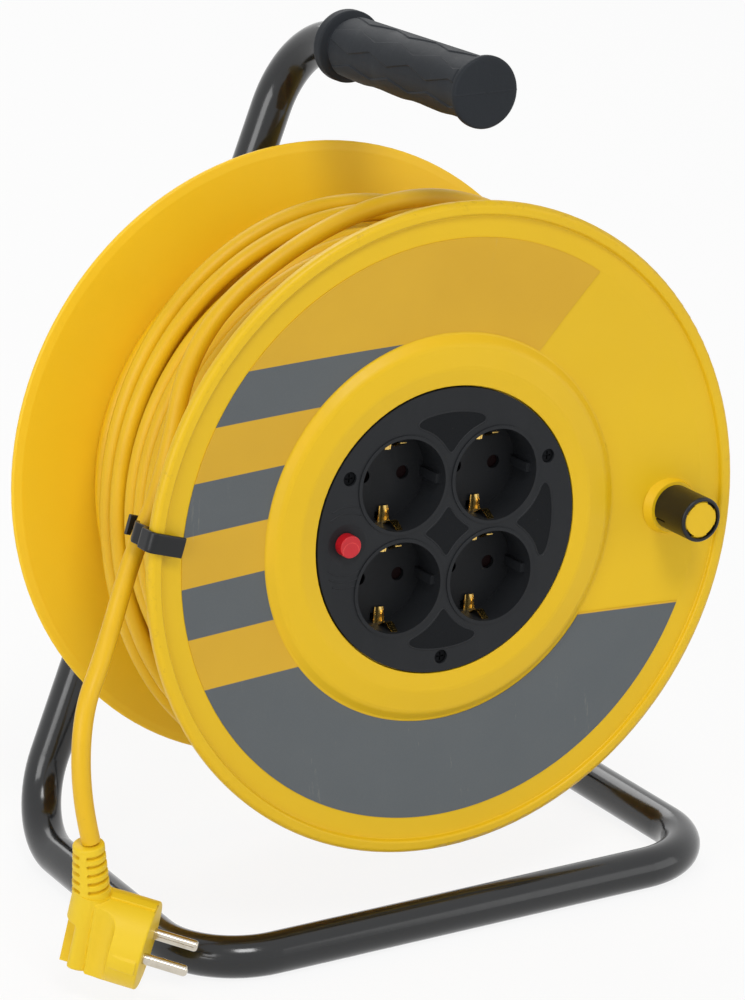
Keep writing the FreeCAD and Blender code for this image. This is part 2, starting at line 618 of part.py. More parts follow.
def make_rear_flange():
    """Rear flange with its dished web, hub tube, ribs and screw holes."""
    web_back_y = REAR_WEB_Y + WEB_WALL
    rim_back_y = REAR_RIM_Y + WEB_WALL
    slope_radius = REAR_RADIUS - 4.5
    corners = [
        (BUSH_RADIUS, HUB_FRONT_Y), (HUB_RADIUS, HUB_FRONT_Y, 1.0), (HUB_RADIUS, REAR_WEB_Y, 3.0),
        (SPIGOT_BORE, REAR_WEB_Y), (SPIGOT_BORE, REAR_WEB_Y - SPIGOT_LENGTH),
        (SPIGOT_RADIUS, REAR_WEB_Y - SPIGOT_LENGTH), (SPIGOT_RADIUS, REAR_WEB_Y),
        (REAR_FLAT_RADIUS, REAR_WEB_Y, REAR_FLAT_ROUND), (slope_radius, REAR_WEB_Y + REAR_DISH, 4.0),
        (REAR_RADIUS, REAR_RIM_Y, 1.2), (REAR_RADIUS - 1.0, rim_back_y, 1.2),
        (slope_radius - 1.0, REAR_WEB_Y + REAR_DISH + WEB_WALL, 4.0),
        (REAR_FLAT_RADIUS - 0.5, web_back_y, REAR_FLAT_ROUND), (HUB_RADIUS + 3, web_back_y, 2.0),
        (HUB_RADIUS + 1, HUB_BACK_Y, 1.0), (BUSH_RADIUS, HUB_BACK_Y),
    ]
    flange = turned(corners)
    for step in range(HUB_RIBS):
        rib = Part.Face(outline([
            (HUB_RADIUS - 0.5, REAR_WEB_Y + 0.5), (HUB_RADIUS - 0.5, REAR_WEB_Y - HUB_RIB_DEPTH),
            (SPIGOT_BORE + 0.5, REAR_WEB_Y - SPIGOT_LENGTH / 2), (SPIGOT_BORE + 0.5, REAR_WEB_Y + 0.5),
        ], lambda radius, y: V(radius, y, -HUB_RIB_WALL / 2)))
        flange = flange.fuse(spun(rib.extrude(V(0, 0, HUB_RIB_WALL)), 360.0 / HUB_RIBS * step))
    for angle in TIE_ANGLES:
        x, z = polar(TIE_CIRCLE_RADIUS, angle)
        flange = flange.cut(rod(TIE_SCREW_RADIUS + SPIGOT_GAP, REAR_WEB_Y - 1, web_back_y + 1, x, z))
    keep("rear_flange", flange)


def make_barrel():
    """Barrel, hub bush and the screws that pull both flanges together."""
    barrel = rod(BARREL_RADIUS, FLANGE_BACK_Y, REAR_WEB_Y).cut(rod(BARREL_BORE, 0, REAR_WEB_Y + 1))
    lead_hole = Part.makeCylinder(GLAND_RADIUS, BARREL_RADIUS + 1, V(0, LEAD_Y, 0), V(0, 0, -1))
    keep("drum_barrel", barrel.cut(lead_hole))
    bush = rod(BUSH_RADIUS, HUB_FRONT_Y, HUB_BACK_Y)
    keep("hub_bush", bush.cut(rod(AXLE_RADIUS + BUSH_RUN, HUB_FRONT_Y - 1, HUB_BACK_Y + 1)))
    screws = []
    for angle in TIE_ANGLES:
        x, z = polar(TIE_CIRCLE_RADIUS, angle)
        head_y = REAR_WEB_Y + WEB_WALL
        shank = rod(TIE_SCREW_RADIUS, REAR_WEB_Y - TIE_SCREW_DEPTH + 2, head_y, x, z)
        head = rod(TIE_HEAD_RADIUS, head_y, head_y + TIE_HEAD_HEIGHT, x, z)
        drive = rod(TIE_HEAD_RADIUS / 2, head_y + TIE_HEAD_HEIGHT / 2, head_y + TIE_HEAD_HEIGHT, x, z)
        screws.append(shank.fuse(head).cut(drive))
    keep("flange_screws", *screws)


def make_socket_plate():
    """Plate with a hole round each well, drawn upright and then turned."""
    plate = rod(SOCKET_RADIUS, SOCKET_FACE_Y, SEAT_Y)
    for x, z in POST_PLACES:
        plate = plate.fuse(rod(POST_RADIUS, SEAT_Y - 1, CARRIER_Y, x, z))
    for x, z in WELL_CENTRES:
        plate = plate.cut(rod(WELL_RADIUS + WELL_WALL, SOCKET_FACE_Y - 1, SEAT_Y + 1, x, z))
    for angle in SCREW_ANGLES:
        x, z = polar(SCREW_CIRCLE_RADIUS, angle)
        sink_y = SOCKET_FACE_Y + SCREW_SINK
        plate = plate.cut(rod(SCREW_HEAD_RADIUS + SCREW_SINK_GAP, SOCKET_FACE_Y - 1, sink_y, x, z))
        plate = plate.cut(rod(SCREW_RADIUS + SCREW_SINK_GAP, SOCKET_FACE_Y, SEAT_Y + 1, x, z))
    ball_radius = (BUTTON_DISH_RADIUS ** 2 + BUTTON_DISH_DEPTH ** 2) / (2 * BUTTON_DISH_DEPTH)
    ball_y = SOCKET_FACE_Y + BUTTON_DISH_DEPTH - ball_radius
    plate = plate.cut(Part.makeSphere(ball_radius, V(BUTTON_X, ball_y, BUTTON_Z)))
    plate = plate.cut(rod(BUTTON_RADIUS + BUTTON_SLIDE_GAP, 0, SEAT_Y + 1, BUTTON_X, BUTTON_Z))
    for x, z in POST_PLACES:
        plate = plate.cut(rod(BAR_SCREW_RADIUS, CARRIER_Y - BAR_SCREW_DEPTH, CARRIER_Y + 1, x, z))
    keep("socket_plate", spun(plate, -SOCKET_TURN))
    screws = []
    for angle in SCREW_ANGLES:
        x, z = polar(SCREW_CIRCLE_RADIUS, angle)
        under_y = SOCKET_FACE_Y + SCREW_SINK
        shank = rod(SCREW_RADIUS, under_y - 1, under_y + SCREW_LENGTH, x, z)
        head = rod(SCREW_HEAD_RADIUS, under_y - SCREW_HEAD_HEIGHT, under_y, x, z)
        screw = shank.fuse(head)
        drive_y = under_y - SCREW_HEAD_HEIGHT / 2
        for half_x, half_z in ((DRIVE_LENGTH, DRIVE_WIDTH), (DRIVE_WIDTH, DRIVE_LENGTH)):
            drive = block(x - half_x, x + half_x, SOCKET_FACE_Y - 1, drive_y, z - half_z, z + half_z)
            screw = screw.cut(drive)
        screws.append(spun(screw, -SOCKET_TURN))
    keep("socket_screws", *screws)


def make_wells():
    """Four socket wells with their pin holes, side keys and slots for the earth contacts."""
    rim_y = SOCKET_FACE_Y - WELL_RIM_HEIGHT
    key_y = SOCKET_FACE_Y + KEY_BACK
    slot_y = WELL_FLOOR_Y - 0.5
    for number, (x, z) in enumerate(WELL_CENTRES, 1):
        well = rod(WELL_RADIUS + WELL_WALL, rim_y, WELL_BACK_Y, x, z)
        well = well.cut(rod(WELL_RADIUS, 0, WELL_FLOOR_Y, x, z))
        well = well.fuse(rod(SHUTTER_PIVOT_RADIUS, WELL_BACK_Y - 1, CARRIER_Y, x, z))
        for side in (-1, 1):
            pin_x = x + side * PIN_OFFSET_X
            well = well.cut(rod(PIN_HOLE_RADIUS, WELL_FLOOR_Y - 1, WELL_BACK_Y + 1, pin_x, z))
            key_x = sorted((x + side * (WELL_RADIUS - KEY_DEPTH), x + side * (WELL_RADIUS + 0.5)))
            key_z = KEY_WIDTH / 2
            well = well.fuse(block(*key_x, key_y, WELL_FLOOR_Y + 0.5, z - key_z, z + key_z))
            slot_x = CLIP_SLOT_WIDTH / 2
            slot_z = sorted((z + side * (WELL_RADIUS - CLIP_SLOT_DEPTH), z + side * (WELL_RADIUS + 0.5)))
            well = well.cut(block(x - slot_x, x + slot_x, slot_y, WELL_BACK_Y + 1, *slot_z))
        keep(f"socket_well_{number}", spun(well, -SOCKET_TURN))


def make_shutters():
    """One turning safety shutter behind each well floor."""
    front_y = WELL_BACK_Y + SHUTTER_GAP
    for number, (x, z) in enumerate(WELL_CENTRES, 1):
        shutter = rod(SHUTTER_RADIUS, front_y, front_y + SHUTTER_THICKNESS)
        shutter = shutter.cut(rod(SHUTTER_PIVOT_RADIUS + SHUTTER_RUN, 0, CARRIER_Y))
        for side in (0, 180):
            window_x, window_z = polar(PIN_OFFSET_X, side + SHUTTER_TURN)
            shutter = shutter.cut(rod(PIN_HOLE_RADIUS, front_y - 1, CARRIER_Y, window_x, window_z))
        shutter.translate(V(x, 0, z))
        keep(f"shutter_{number}", spun(shutter, -SOCKET_TURN))


def make_carrier():
    """Insulating carrier behind the wells, with the bosses that hold the bars."""
    carrier = rod(CARRIER_RADIUS, CARRIER_Y, CARRIER_BACK_Y)
    carrier = carrier.fuse(rod(POST_RADIUS, CARRIER_Y, EARTH_BAR_Y))
    for x, z in ((-PIN_OFFSET_X, -BAR_JOIN_Z), (PIN_OFFSET_X, BAR_JOIN_Z)):
        carrier = carrier.fuse(rod(POST_RADIUS, CARRIER_Y, BAR_Y, x, z))
        carrier = carrier.cut(rod(BAR_SCREW_RADIUS, BAR_Y - BAR_SCREW_DEPTH, BAR_Y + 1, x, z))
    carrier = carrier.cut(rod(BAR_SCREW_RADIUS, EARTH_BAR_Y - BAR_SCREW_DEPTH, EARTH_BAR_Y + 1, 0, 0))
    for x, z in WELL_CENTRES:
        for side in (-1, 1):
            pin_x = x + side * PIN_OFFSET_X
            carrier = carrier.cut(rod(PIN_HOLE_RADIUS, 0, CARRIER_BACK_Y + 1, pin_x, z))
            slot_x = CLIP_SLOT_WIDTH / 2
            slot_z = z + side * STRIP_BACK_RHO
            slot_ends = (slot_z - STRIP_ROOM, slot_z + STRIP_ROOM)
            carrier = carrier.cut(block(x - slot_x, x + slot_x, 0, CARRIER_BACK_Y + 1, *slot_ends))
    window_x = BUTTON_X + BREAKER_WIDTH / 2 + STRIP_ROOM
    window_z = BREAKER_HEIGHT / 2 + STRIP_ROOM
    carrier = carrier.cut(block(
        -CARRIER_RADIUS - 1, window_x, 0, CARRIER_BACK_Y + 1,
        BUTTON_Z - window_z, BUTTON_Z + window_z))
    screws = []
    for x, z in POST_PLACES[1:]:
        room = BAR_SCREW_RADIUS + SCREW_SINK_GAP
        carrier = carrier.cut(rod(room, CARRIER_Y - 1, CARRIER_BACK_Y + 1, x, z))
        shank = rod(BAR_SCREW_RADIUS, CARRIER_Y - BAR_SCREW_DEPTH + 1, CARRIER_BACK_Y, x, z)
        screws.append(shank.fuse(rod(BAR_SCREW_HEAD, CARRIER_BACK_Y, CARRIER_BACK_Y + 2, x, z)))
    keep("contact_carrier", spun(carrier, -SOCKET_TURN))
    return screws


def bar_screw(x, z, under_y):
    """Terminal screw whose head lies on a bar at a place along the axle."""
    shank = rod(BAR_SCREW_RADIUS, under_y - BAR_THICKNESS - BAR_SCREW_DEPTH + 1, under_y, x, z)
    return shank.fuse(rod(BAR_SCREW_HEAD, under_y, under_y + 2, x, z))


def make_bars(screws):
    """Live, neutral and earth bars with their contacts and screws."""
    half = BAR_WIDTH / 2
    bore = PIN_RADIUS + TULIP_GRIP_GAP
    back_y = BAR_Y + BAR_THICKNESS
    for name, side in (("live_bar", -1), ("neutral_bar", 1)):
        join_z = side * BAR_JOIN_Z
        columns = [x + side * PIN_OFFSET_X for x in WELL_SIDES]
        bar = block(columns[0] - half, columns[1] + half, BAR_Y, back_y, join_z - half, join_z + half)
        far_z = -side * (WELL_OFFSET_X + half)
        for x in columns:
            bar = bar.fuse(block(x - half, x + half, BAR_Y, back_y, *sorted((join_z, far_z))))
            for z in WELL_SIDES:
                bar = bar.fuse(rod(TULIP_RADIUS, TULIP_FRONT_Y, BAR_Y + 0.5, x, z))
        for x in columns:
            for z in WELL_SIDES:
                bar = bar.cut(rod(bore, TULIP_FRONT_Y - 1, BAR_Y - 0.5, x, z))
        screw_x = side * PIN_OFFSET_X
        bar = bar.cut(rod(BAR_SCREW_RADIUS, BAR_Y - 1, back_y + 1, screw_x, join_z))
        screws.append(bar_screw(screw_x, join_z, back_y))
        keep(name, spun(bar.removeSplitter(), -SOCKET_TURN))
    earth_back_y = EARTH_BAR_Y + BAR_THICKNESS
    reach = WELL_OFFSET_X + STRIP_BACK_RHO + 2
    bar = block(-WELL_OFFSET_X, WELL_OFFSET_X, EARTH_BAR_Y, earth_back_y, -half, half)
    for x in WELL_SIDES:
        bar = bar.fuse(block(x - half, x + half, EARTH_BAR_Y, earth_back_y, -reach, reach))
    bar = bar.cut(rod(BAR_SCREW_RADIUS, EARTH_BAR_Y - 1, earth_back_y + 1))
    screws.append(bar_screw(0, 0, earth_back_y))
    keep("earth_bar", spun(bar.removeSplitter(), -SOCKET_TURN))
    keep("terminal_screws", *[spun(screw, -SOCKET_TURN) for screw in screws])
    keep("earth_clips", *[earth_strip(x, z, side) for x, z in WELL_CENTRES for side in (-1, 1)])


def earth_strip(x, z, side):
    """Arched earth contact on one side of a well."""
    wall = STRIP_THICKNESS
    bend_y = WELL_FLOOR_Y - 1
    corners = [
        (EARTH_BAR_Y, STRIP_BACK_RHO), (bend_y, STRIP_BACK_RHO, 1.0),
        (STRIP_ARCH_Y, STRIP_ARCH_RHO, 1.2 + wall), (STRIP_TIP_Y, STRIP_TIP_RHO),
        (STRIP_TIP_Y, STRIP_TIP_RHO - wall), (STRIP_ARCH_Y, STRIP_ARCH_RHO - wall, 1.2),
        (bend_y, STRIP_BACK_RHO - wall, 1.0 + wall), (EARTH_BAR_Y, STRIP_BACK_RHO - wall),
    ]
    wire = outline(corners, lambda y, rho: V(x - STRIP_WIDTH / 2, y, z + side * rho))
    return spun(Part.Face(wire).extrude(V(STRIP_WIDTH, 0, 0)), -SOCKET_TURN)


def make_breaker():
    """Cut-out breaker behind the plate and the reset button that slides in it."""
    collar_y = SEAT_Y + SHUTTER_GAP
    collar_back_y = collar_y + BUTTON_COLLAR_THICKNESS
    stem_back_y = collar_back_y + BUTTON_STEM_LENGTH
    button = rod(BUTTON_RADIUS, BUTTON_FACE_Y, collar_y, BUTTON_X, BUTTON_Z)
    button = button.makeFillet(BUTTON_EDGE, front_rim(button))
    button = button.fuse(rod(BUTTON_COLLAR_RADIUS, collar_y, collar_back_y, BUTTON_X, BUTTON_Z))
    button = button.fuse(rod(BUTTON_STEM_RADIUS, collar_back_y, stem_back_y, BUTTON_X, BUTTON_Z))
    keep("reset_button", spun(button, -SOCKET_TURN))
    neck_bore = BUTTON_COLLAR_RADIUS + BUTTON_SLIDE_GAP * 2
    body = block(
        BUTTON_X - BREAKER_WIDTH / 2, BUTTON_X + BREAKER_WIDTH / 2, BREAKER_Y, BREAKER_Y + BREAKER_LENGTH,
        BUTTON_Z - BREAKER_HEIGHT / 2, BUTTON_Z + BREAKER_HEIGHT / 2)
    neck = rod(BREAKER_NECK_RADIUS, SEAT_Y, BREAKER_Y + 1, BUTTON_X, BUTTON_Z)
    body = body.fuse(neck.cut(rod(neck_bore, SEAT_Y - 1, BREAKER_Y, BUTTON_X, BUTTON_Z)))
    stem_room = stem_back_y + BUTTON_TRAVEL + 0.5
    body = body.cut(rod(BUTTON_STEM_RADIUS + BUTTON_SLIDE_GAP, SEAT_Y, stem_room, BUTTON_X, BUTTON_Z))
    keep("breaker_body", spun(body, -SOCKET_TURN))


def make_rim_clip():
    """Bent clip that snaps over the rim and parks the cord in its jaw."""
    wall = CLIP_WALL
    top = FLANGE_RADIUS + wall
    bottom = CLIP_BOTTOM_RADIUS
    corners = [
        (CLIP_FRONT_RADIUS, -wall), (top, -wall, 1.4), (top, BEAD_WIDTH + wall, 1.4),
        (CLIP_BOTTOM_RADIUS + wall, BEAD_WIDTH + wall, 0.6), (bottom + wall, CLIP_JAW_FRONT_Y, 0.3),
        (CLIP_JAW_FRONT_RADIUS, CLIP_JAW_FRONT_Y, 0.8),
        (CLIP_JAW_FRONT_RADIUS, CLIP_JAW_FRONT_Y + wall, 0.8),
        (bottom + wall, CLIP_JAW_FRONT_Y + wall, 0.8), (bottom + wall, CLIP_JAW_BACK_Y - wall, 0.8),
        (CLIP_JAW_BACK_RADIUS, CLIP_JAW_BACK_Y - wall, 0.8), (CLIP_JAW_BACK_RADIUS, CLIP_JAW_BACK_Y, 0.8),
        (bottom, CLIP_JAW_BACK_Y, 1.6), (bottom, BEAD_WIDTH, 0.6), (FLANGE_RADIUS, BEAD_WIDTH, 0.3),
        (FLANGE_RADIUS, 0, 0.3), (CLIP_FRONT_RADIUS, 0),
    ]
    face = Part.Face(outline(corners, lambda radius, y: V(radius, y, -CLIP_WIDTH / 2)))
    clip = face.extrude(V(0, 0, CLIP_WIDTH))
    keep("cord_clip", spun(clip, CLIP_ANGLE))


def make_label():
    """Thin printed label on the sloping web, open on the knob's side."""
    inner_y = web_front_y(LABEL_INNER_RADIUS)
    outer_y = web_front_y(LABEL_OUTER_RADIUS)
    corners = [
        (LABEL_INNER_RADIUS, inner_y), (LABEL_OUTER_RADIUS, outer_y),
        (LABEL_OUTER_RADIUS, outer_y - LABEL_THICKNESS), (LABEL_INNER_RADIUS, inner_y - LABEL_THICKNESS),
    ]
    label = turned(corners, LABEL_SWEEP)
    keep("face_label", spun(label, LABEL_START + LABEL_SWEEP))


def winding_nodes():
    """Turn count, radius and axle place of each node of the wound cord."""
    nodes = []
    for quarter in range(int(REAR_TURNS * 4) + 1):
        turn = quarter / 4
        nodes.append((turn, REAR_TURN_RADIUS, REAR_FIRST_Y - TURN_PITCH * turn))
    nodes.extend(LOOSE_TURNS)
    for quarter in range(int((BAND_LAST_TURN - BAND_FIRST_TURN) * 4) + 1):
        turn = BAND_FIRST_TURN + quarter / 4
        nodes.append((turn, BAND_TURN_RADIUS, BAND_FIRST_Y - TURN_PITCH * quarter / 4))
    nodes.extend(LAST_TURN)
    angle, radius, y = DRUM_ROUTE[0]
    nodes.append((WOUND_TURNS + angle / 360, radius, y))
    return nodes


def even_slope(nodes, index, column):
    """Slope at a node that overshoots neither neighbour."""
    slopes = []
    for left in (index - 1, index):
        span = nodes[left + 1][0] - nodes[left][0]
        slopes.append((nodes[left + 1][column] - nodes[left][column]) / span)
    if slopes[0] * slopes[1] <= 0:
        return 0.0
    return 2 * slopes[0] * slopes[1] / (slopes[0] + slopes[1])


def biarc(start, start_way, finish, finish_way):
    """Two arcs that leave and arrive along the given directions."""
    span = finish - start
    both = start_way + finish_way
    bend = 2 - 2 * start_way.dot(finish_way)
    along = span.dot(both)
    reach = (-along + sqrt(along ** 2 + bend * span.dot(span))) / bend
    corner_1 = start + start_way * reach
    corner_2 = finish - finish_way * reach
    middle = (corner_1 + corner_2) * 0.5
    edges = []
    for left, corner, right in ((start, corner_1, middle), (middle, corner_2, finish)):
        chord = right - left
        centre = (left + right) * 0.5
        quarter = acos(min(1.0, chord.Length / 2 / reach)) / 2
        top = centre + (corner - centre).normalize() * (chord.Length / 2 * tan(quarter))
        edges.append(Part.Arc(left, top, right).toShape())
    return edges


def drum_point(angle, radius, y):
    """Point at an angle and a radius about the axle, at a place along it."""
    x, z = polar(radius, angle)
    return V(x, y, z)


def make_winding(route):
    """Outer layer of turns as one tube, and the plain core under it."""
    nodes = winding_nodes()
    last_way = (route[1] - route[0]).normalize()
    ends = CORD_RADIUS * 2
    points = []
    ways = []
    for index in range(len(nodes)):
        turn, radius, y = nodes[index]
        inner = 0 < index < len(nodes) - 1
        radius_slope = even_slope(nodes, index, 1) if inner else 0.0
        y_slope = even_slope(nodes, index, 2) if inner else -TURN_PITCH
        angle = 2 * pi * turn
        way = V(
            radius_slope * cos(angle) - 2 * pi * radius * sin(angle), y_slope,
            radius_slope * sin(angle) + 2 * pi * radius * cos(angle))
        points.append(drum_point(360 * turn, radius, y))
        ways.append(way.normalize())
    points[-1] = route[0] - last_way * ends
    ways[-1] = last_way
    edges = [Part.LineSegment(points[0] - ways[0] * ends, points[0]).toShape()]
    for index in range(len(points) - 1):
        edges.extend(biarc(points[index], ways[index], points[index + 1], ways[index + 1]))
    edges.append(Part.LineSegment(points[-1], route[0]).toShape())
    winding = swept(edges, CORD_RADIUS)
    keep("cord_outer_turns", winding)
    check_tube("cord_outer_turns", winding, edges, CORD_RADIUS)
    print(f"cord_outer_turns: least gap to itself {self_gap(edges):.2f} mm")
    core_radius = BAND_TURN_RADIUS - CORD_RADIUS - CORD_SKIN_GAP
    rear_radius = REAR_TURN_RADIUS - CORD_RADIUS - CORD_SKIN_GAP
    front_y = web_front_y(core_radius) + WEB_WALL + CORE_END_GAP
    seat_y = FLANGE_BACK_Y + CORE_END_GAP
    core = turned([
        (BARREL_RADIUS, seat_y), (WEB_INNER_RADIUS, seat_y), (core_radius, front_y, 1.0),
        (core_radius, CORE_STEP_FRONT_Y, 2.0), (rear_radius, CORE_STEP_BACK_Y, 2.0),
        (rear_radius, REAR_WEB_Y - CORE_END_GAP), (BARREL_RADIUS, REAR_WEB_Y - CORE_END_GAP),
    ])
    keep("cord_core", core)
    wound = core.Volume / (pi * CORD_RADIUS ** 2) * 0.9 + sum(edge.Length for edge in edges)
    print(f"cord wound on the drum: about {wound / 1000:.1f} m")


def self_gap(edges):
    """Least gap between parts of the wound tube that are half a turn or more apart."""
    samples = []
    travelled = 0.0
    for edge in edges:
        count = max(2, int(edge.Length / 6))
        first, last = edge.ParameterRange
        for step in range(count):
            point = edge.valueAt(first + (last - first) * step / count)
            samples.append((travelled + edge.Length * step / count, point))
        travelled += edge.Length
    least = 1e9
    half_turn = pi * REAR_TURN_RADIUS
    for index, (place, point) in enumerate(samples):
        for other_place, other in samples[index + 1:]:
            if other_place - place < half_turn:
                continue
            if abs(other.y - point.y) < 4 * CORD_RADIUS:
                least = min(least, (other - point).Length)
    return least - 2 * CORD_RADIUS


def plug_frame():
    """Placement of the plug: its X leaves the face with the pins, its Z is up."""
    pin_way = V(*PLUG_PIN_WAY).normalize()
    up_way = V(*PLUG_UP_WAY).normalize()
    side_way = up_way.cross(pin_way).normalize()
    return FreeCAD.Placement(V(*PLUG_FACE), FreeCAD.Rotation(pin_way, side_way, up_way, "XZY"))


def cord_route():
    """Points of the free cord from the last turn on the drum to the plug."""
    points = [drum_point(*place) for place in DRUM_ROUTE]
    points += [V(*place) for place in HANGING_ROUTE]
    lean = radians(PLUG_CABLE_LEAN)
    top_reach = PLUG_NECK_LENGTH + RELIEF_LENGTH
    for reach in (top_reach + RELIEF_LEAD_IN, top_reach):
        point = V(-PLUG_CABLE_DEPTH - reach * sin(lean), 0, reach * cos(lean))
        points.append(plug_frame().multVec(point))
    return points


def make_free_cord(route):
    """Free cord as straight runs joined by wide tangent arcs."""
    radii = []
    for index in range(1, len(route) - 1):
        back = route[index - 1] - route[index]
        ahead = route[index + 1] - route[index]
        turn = pi - back.getAngle(ahead)
        radii.append(0.45 * min(back.Length, ahead.Length) / tan(turn / 2))
    edges = bent_path(route, radii)
    cord = swept(edges, CORD_RADIUS)
    keep("hanging_cord", cord)
    check_tube("hanging_cord", cord, edges, CORD_RADIUS)
    print("hanging_cord: radii", " ".join(f"{radius:.0f}" for radius in radii), "mm")


def make_plug():
    """Angled plug with its body, ribbed strain relief, pins and earth contacts."""
    frame = plug_frame()
    lean = radians(PLUG_CABLE_LEAN)
    cable_way = V(-sin(lean), 0, cos(lean))
    neck_foot = V(-PLUG_CABLE_DEPTH, 0, 0)
    neck_top = neck_foot + cable_way * PLUG_NECK_LENGTH
    profile = outline([
        (0, 0), (0, PLUG_RADIUS, 1.0), (-PLUG_STRAIGHT, PLUG_RADIUS, 6.0),
        (-PLUG_DEPTH, PLUG_BACK_RADIUS, 5.0), (-PLUG_DEPTH, 0),
    ], lambda x, radius: V(x, radius, 0))
    body = Part.Face(profile).revolve(V(0, 0, 0), V(1, 0, 0), 360)
    neck = Part.makeCone(PLUG_NECK_FOOT, PLUG_NECK_RADIUS, PLUG_NECK_LENGTH, neck_foot, cable_way)
    fin_x = -PLUG_DEPTH - PLUG_FIN_LENGTH
    fin_y = PLUG_FIN_WIDTH / 2
    fin_z = PLUG_FIN_HEIGHT / 2
    fin = block(fin_x, -PLUG_STRAIGHT, -fin_y, fin_y, -fin_z, fin_z)
    fin = fin.makeFillet(PLUG_FIN_EDGE, [edge for edge in fin.Edges if edge.CenterOfMass.x < fin_x + 0.1])
    body = body.fuse(neck).fuse(fin)
    key_z = PLUG_KEY_WIDTH / 2
    for side in (-1, 1):
        key_y = sorted((side * (PLUG_RADIUS - PLUG_KEY_DEPTH), side * (PLUG_RADIUS + 1)))
        body = body.cut(block(-PLUG_KEY_LENGTH, 1, *key_y, -key_z, key_z))
    pins = []
    pads = []
    for side in (-1, 1):
        pin = Part.makeCylinder(PIN_RADIUS, PIN_LENGTH, V(0, side * PIN_OFFSET_X, 0), V(1, 0, 0))
        tip = [edge for edge in pin.Edges if edge.Closed and edge.CenterOfMass.x > PIN_LENGTH - 0.1]
        pins.append(pin.makeFillet(PIN_TIP_ROUND, tip))
        foot = PLUG_RADIUS - EARTH_PAD_SINK - EARTH_PAD_THICKNESS
        pad_z = sorted((side * foot, side * (foot + EARTH_PAD_THICKNESS)))
        slot_z = sorted((side * foot, side * (PLUG_RADIUS + 1)))
        pad_y = EARTH_PAD_WIDTH / 2
        pads.append(block(-EARTH_PAD_LENGTH, -EARTH_PAD_SINK, -pad_y, pad_y, *pad_z))
        body = body.cut(block(-EARTH_PAD_LENGTH, 1, -pad_y, pad_y, *slot_z))
    relief = Part.makeCone(RELIEF_BASE_RADIUS, RELIEF_TOP_RADIUS, RELIEF_LENGTH, neck_top, cable_way)
    body = body.cut(relief)
    for number in range(RELIEF_SLOTS):
        height = PLUG_NECK_LENGTH + RELIEF_SLOT_FIRST + number * RELIEF_SLOT_PITCH
        for side in (-1, 1):
            slot_x = sorted((side * (RELIEF_BASE_RADIUS + 1), side * (CORD_RADIUS + RELIEF_SLOT_FLOOR)))
            slot = block(*slot_x, -RELIEF_BASE_RADIUS, RELIEF_BASE_RADIUS, 0, RELIEF_SLOT_WIDTH)
            slot.rotate(V(0, 0, 0), V(0, 1, 0), -PLUG_CABLE_LEAN)
            slot.translate(neck_foot + cable_way * height)
            relief = relief.cut(slot)
    parts = {
        "plug_body": [body], "plug_strain_relief": [relief],
        "plug_pins": pins, "plug_earth_contacts": pads,
    }
    for name, solids in parts.items():
        placed = [solid.copy() for solid in solids]
        for solid in placed:
            solid.Placement = frame.multiply(solid.Placement)
        keep(name, *placed)


def make_lead():
    """Inner lead from the barrel's hole to the terminals, and its gland."""
    start = V(0, LEAD_Y, -sqrt(BARREL_RADIUS ** 2 - CORD_RADIUS ** 2))
    points = [start, V(0, LEAD_Y, -(BAR_JOIN_Z + LEAD_BEND)), V(LEAD_END_X, LEAD_END_Y, -BAR_JOIN_Z / 2)]
    edges = bent_path(points, [LEAD_BEND])
    lead = swept(edges, CORD_RADIUS)
    keep("inner_lead", lead)
    head_top = -sqrt(BARREL_BORE ** 2 - GLAND_HEAD_RADIUS ** 2) + HAIR
    tip = -sqrt(BARREL_RADIUS ** 2 - GLAND_RADIUS ** 2)
    gland = Part.makeCylinder(GLAND_RADIUS, head_top - tip, V(0, LEAD_Y, tip), V(0, 0, 1))
    gland = gland.fuse(Part.makeCylinder(GLAND_HEAD_RADIUS, GLAND_HEAD, V(0, LEAD_Y, head_top), V(0, 0, 1)))
    gland = gland.cut(Part.makeCylinder(CORD_RADIUS, BARREL_RADIUS, start, V(0, 0, 1)))
    keep("cord_gland", gland)


def export():
    """Move every piece onto the floor frame and write one file for each."""
    solid_tube, strut = make_stand()
    make_grip()
    make_axle(solid_tube, strut)
    make_front_flange()
    make_knob()
    make_rear_flange()
    make_barrel()
    make_socket_plate()
    make_wells()
    make_shutters()
    make_bars(make_carrier())
    make_breaker()
    make_rim_clip()
    make_label()
    make_lead()
    route = cord_route()
    make_winding(route)
    make_free_cord(route)
    make_plug()
    on_cord = ("hanging_cord", "plug_body", "plug_strain_relief", "plug_pins", "plug_earth_contacts")
    body = Part.makeCompound([shape for name, shape in pieces.items() if name not in on_cord])
    box = body.optimalBoundingBox(False)
    shift = V(-(box.XMin + box.XMax) / 2, -(box.YMin + box.YMax) / 2, -box.ZMin)
    print(f"axle in the floor frame: {shift.x:.3f} {shift.y:.3f} {shift.z:.3f}")
    os.makedirs("parts", exist_ok=True)
    for name, shape in pieces.items():
        moved = shape.copy()
        moved.translate(shift)
        solids = moved.Solids
        valid = all(solid.isValid() for solid in solids)
        volume = sum(solid.Volume for solid in solids)
        print(f"{name}: {len(solids)} solids, {volume:.0f} mm3, valid {valid}")
        moved.exportStep(f"parts/{name}.step")


export()
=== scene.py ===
"""Looks of an extension cord reel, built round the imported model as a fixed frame.

Sizes are millimetres about the drum's axle: X right, Y to the rear, Z up and Y = 0 at
the front rim. `placed` moves such points into the floor frame, in metres.
"""

import json
import logging
import math
from dataclasses import dataclass
from enum import Enum
from typing import Callable, Sequence

import bmesh
import bpy
import numpy as np
from bpy.types import ID, Material, Node, NodeSocket, Object
from mathutils import Matrix


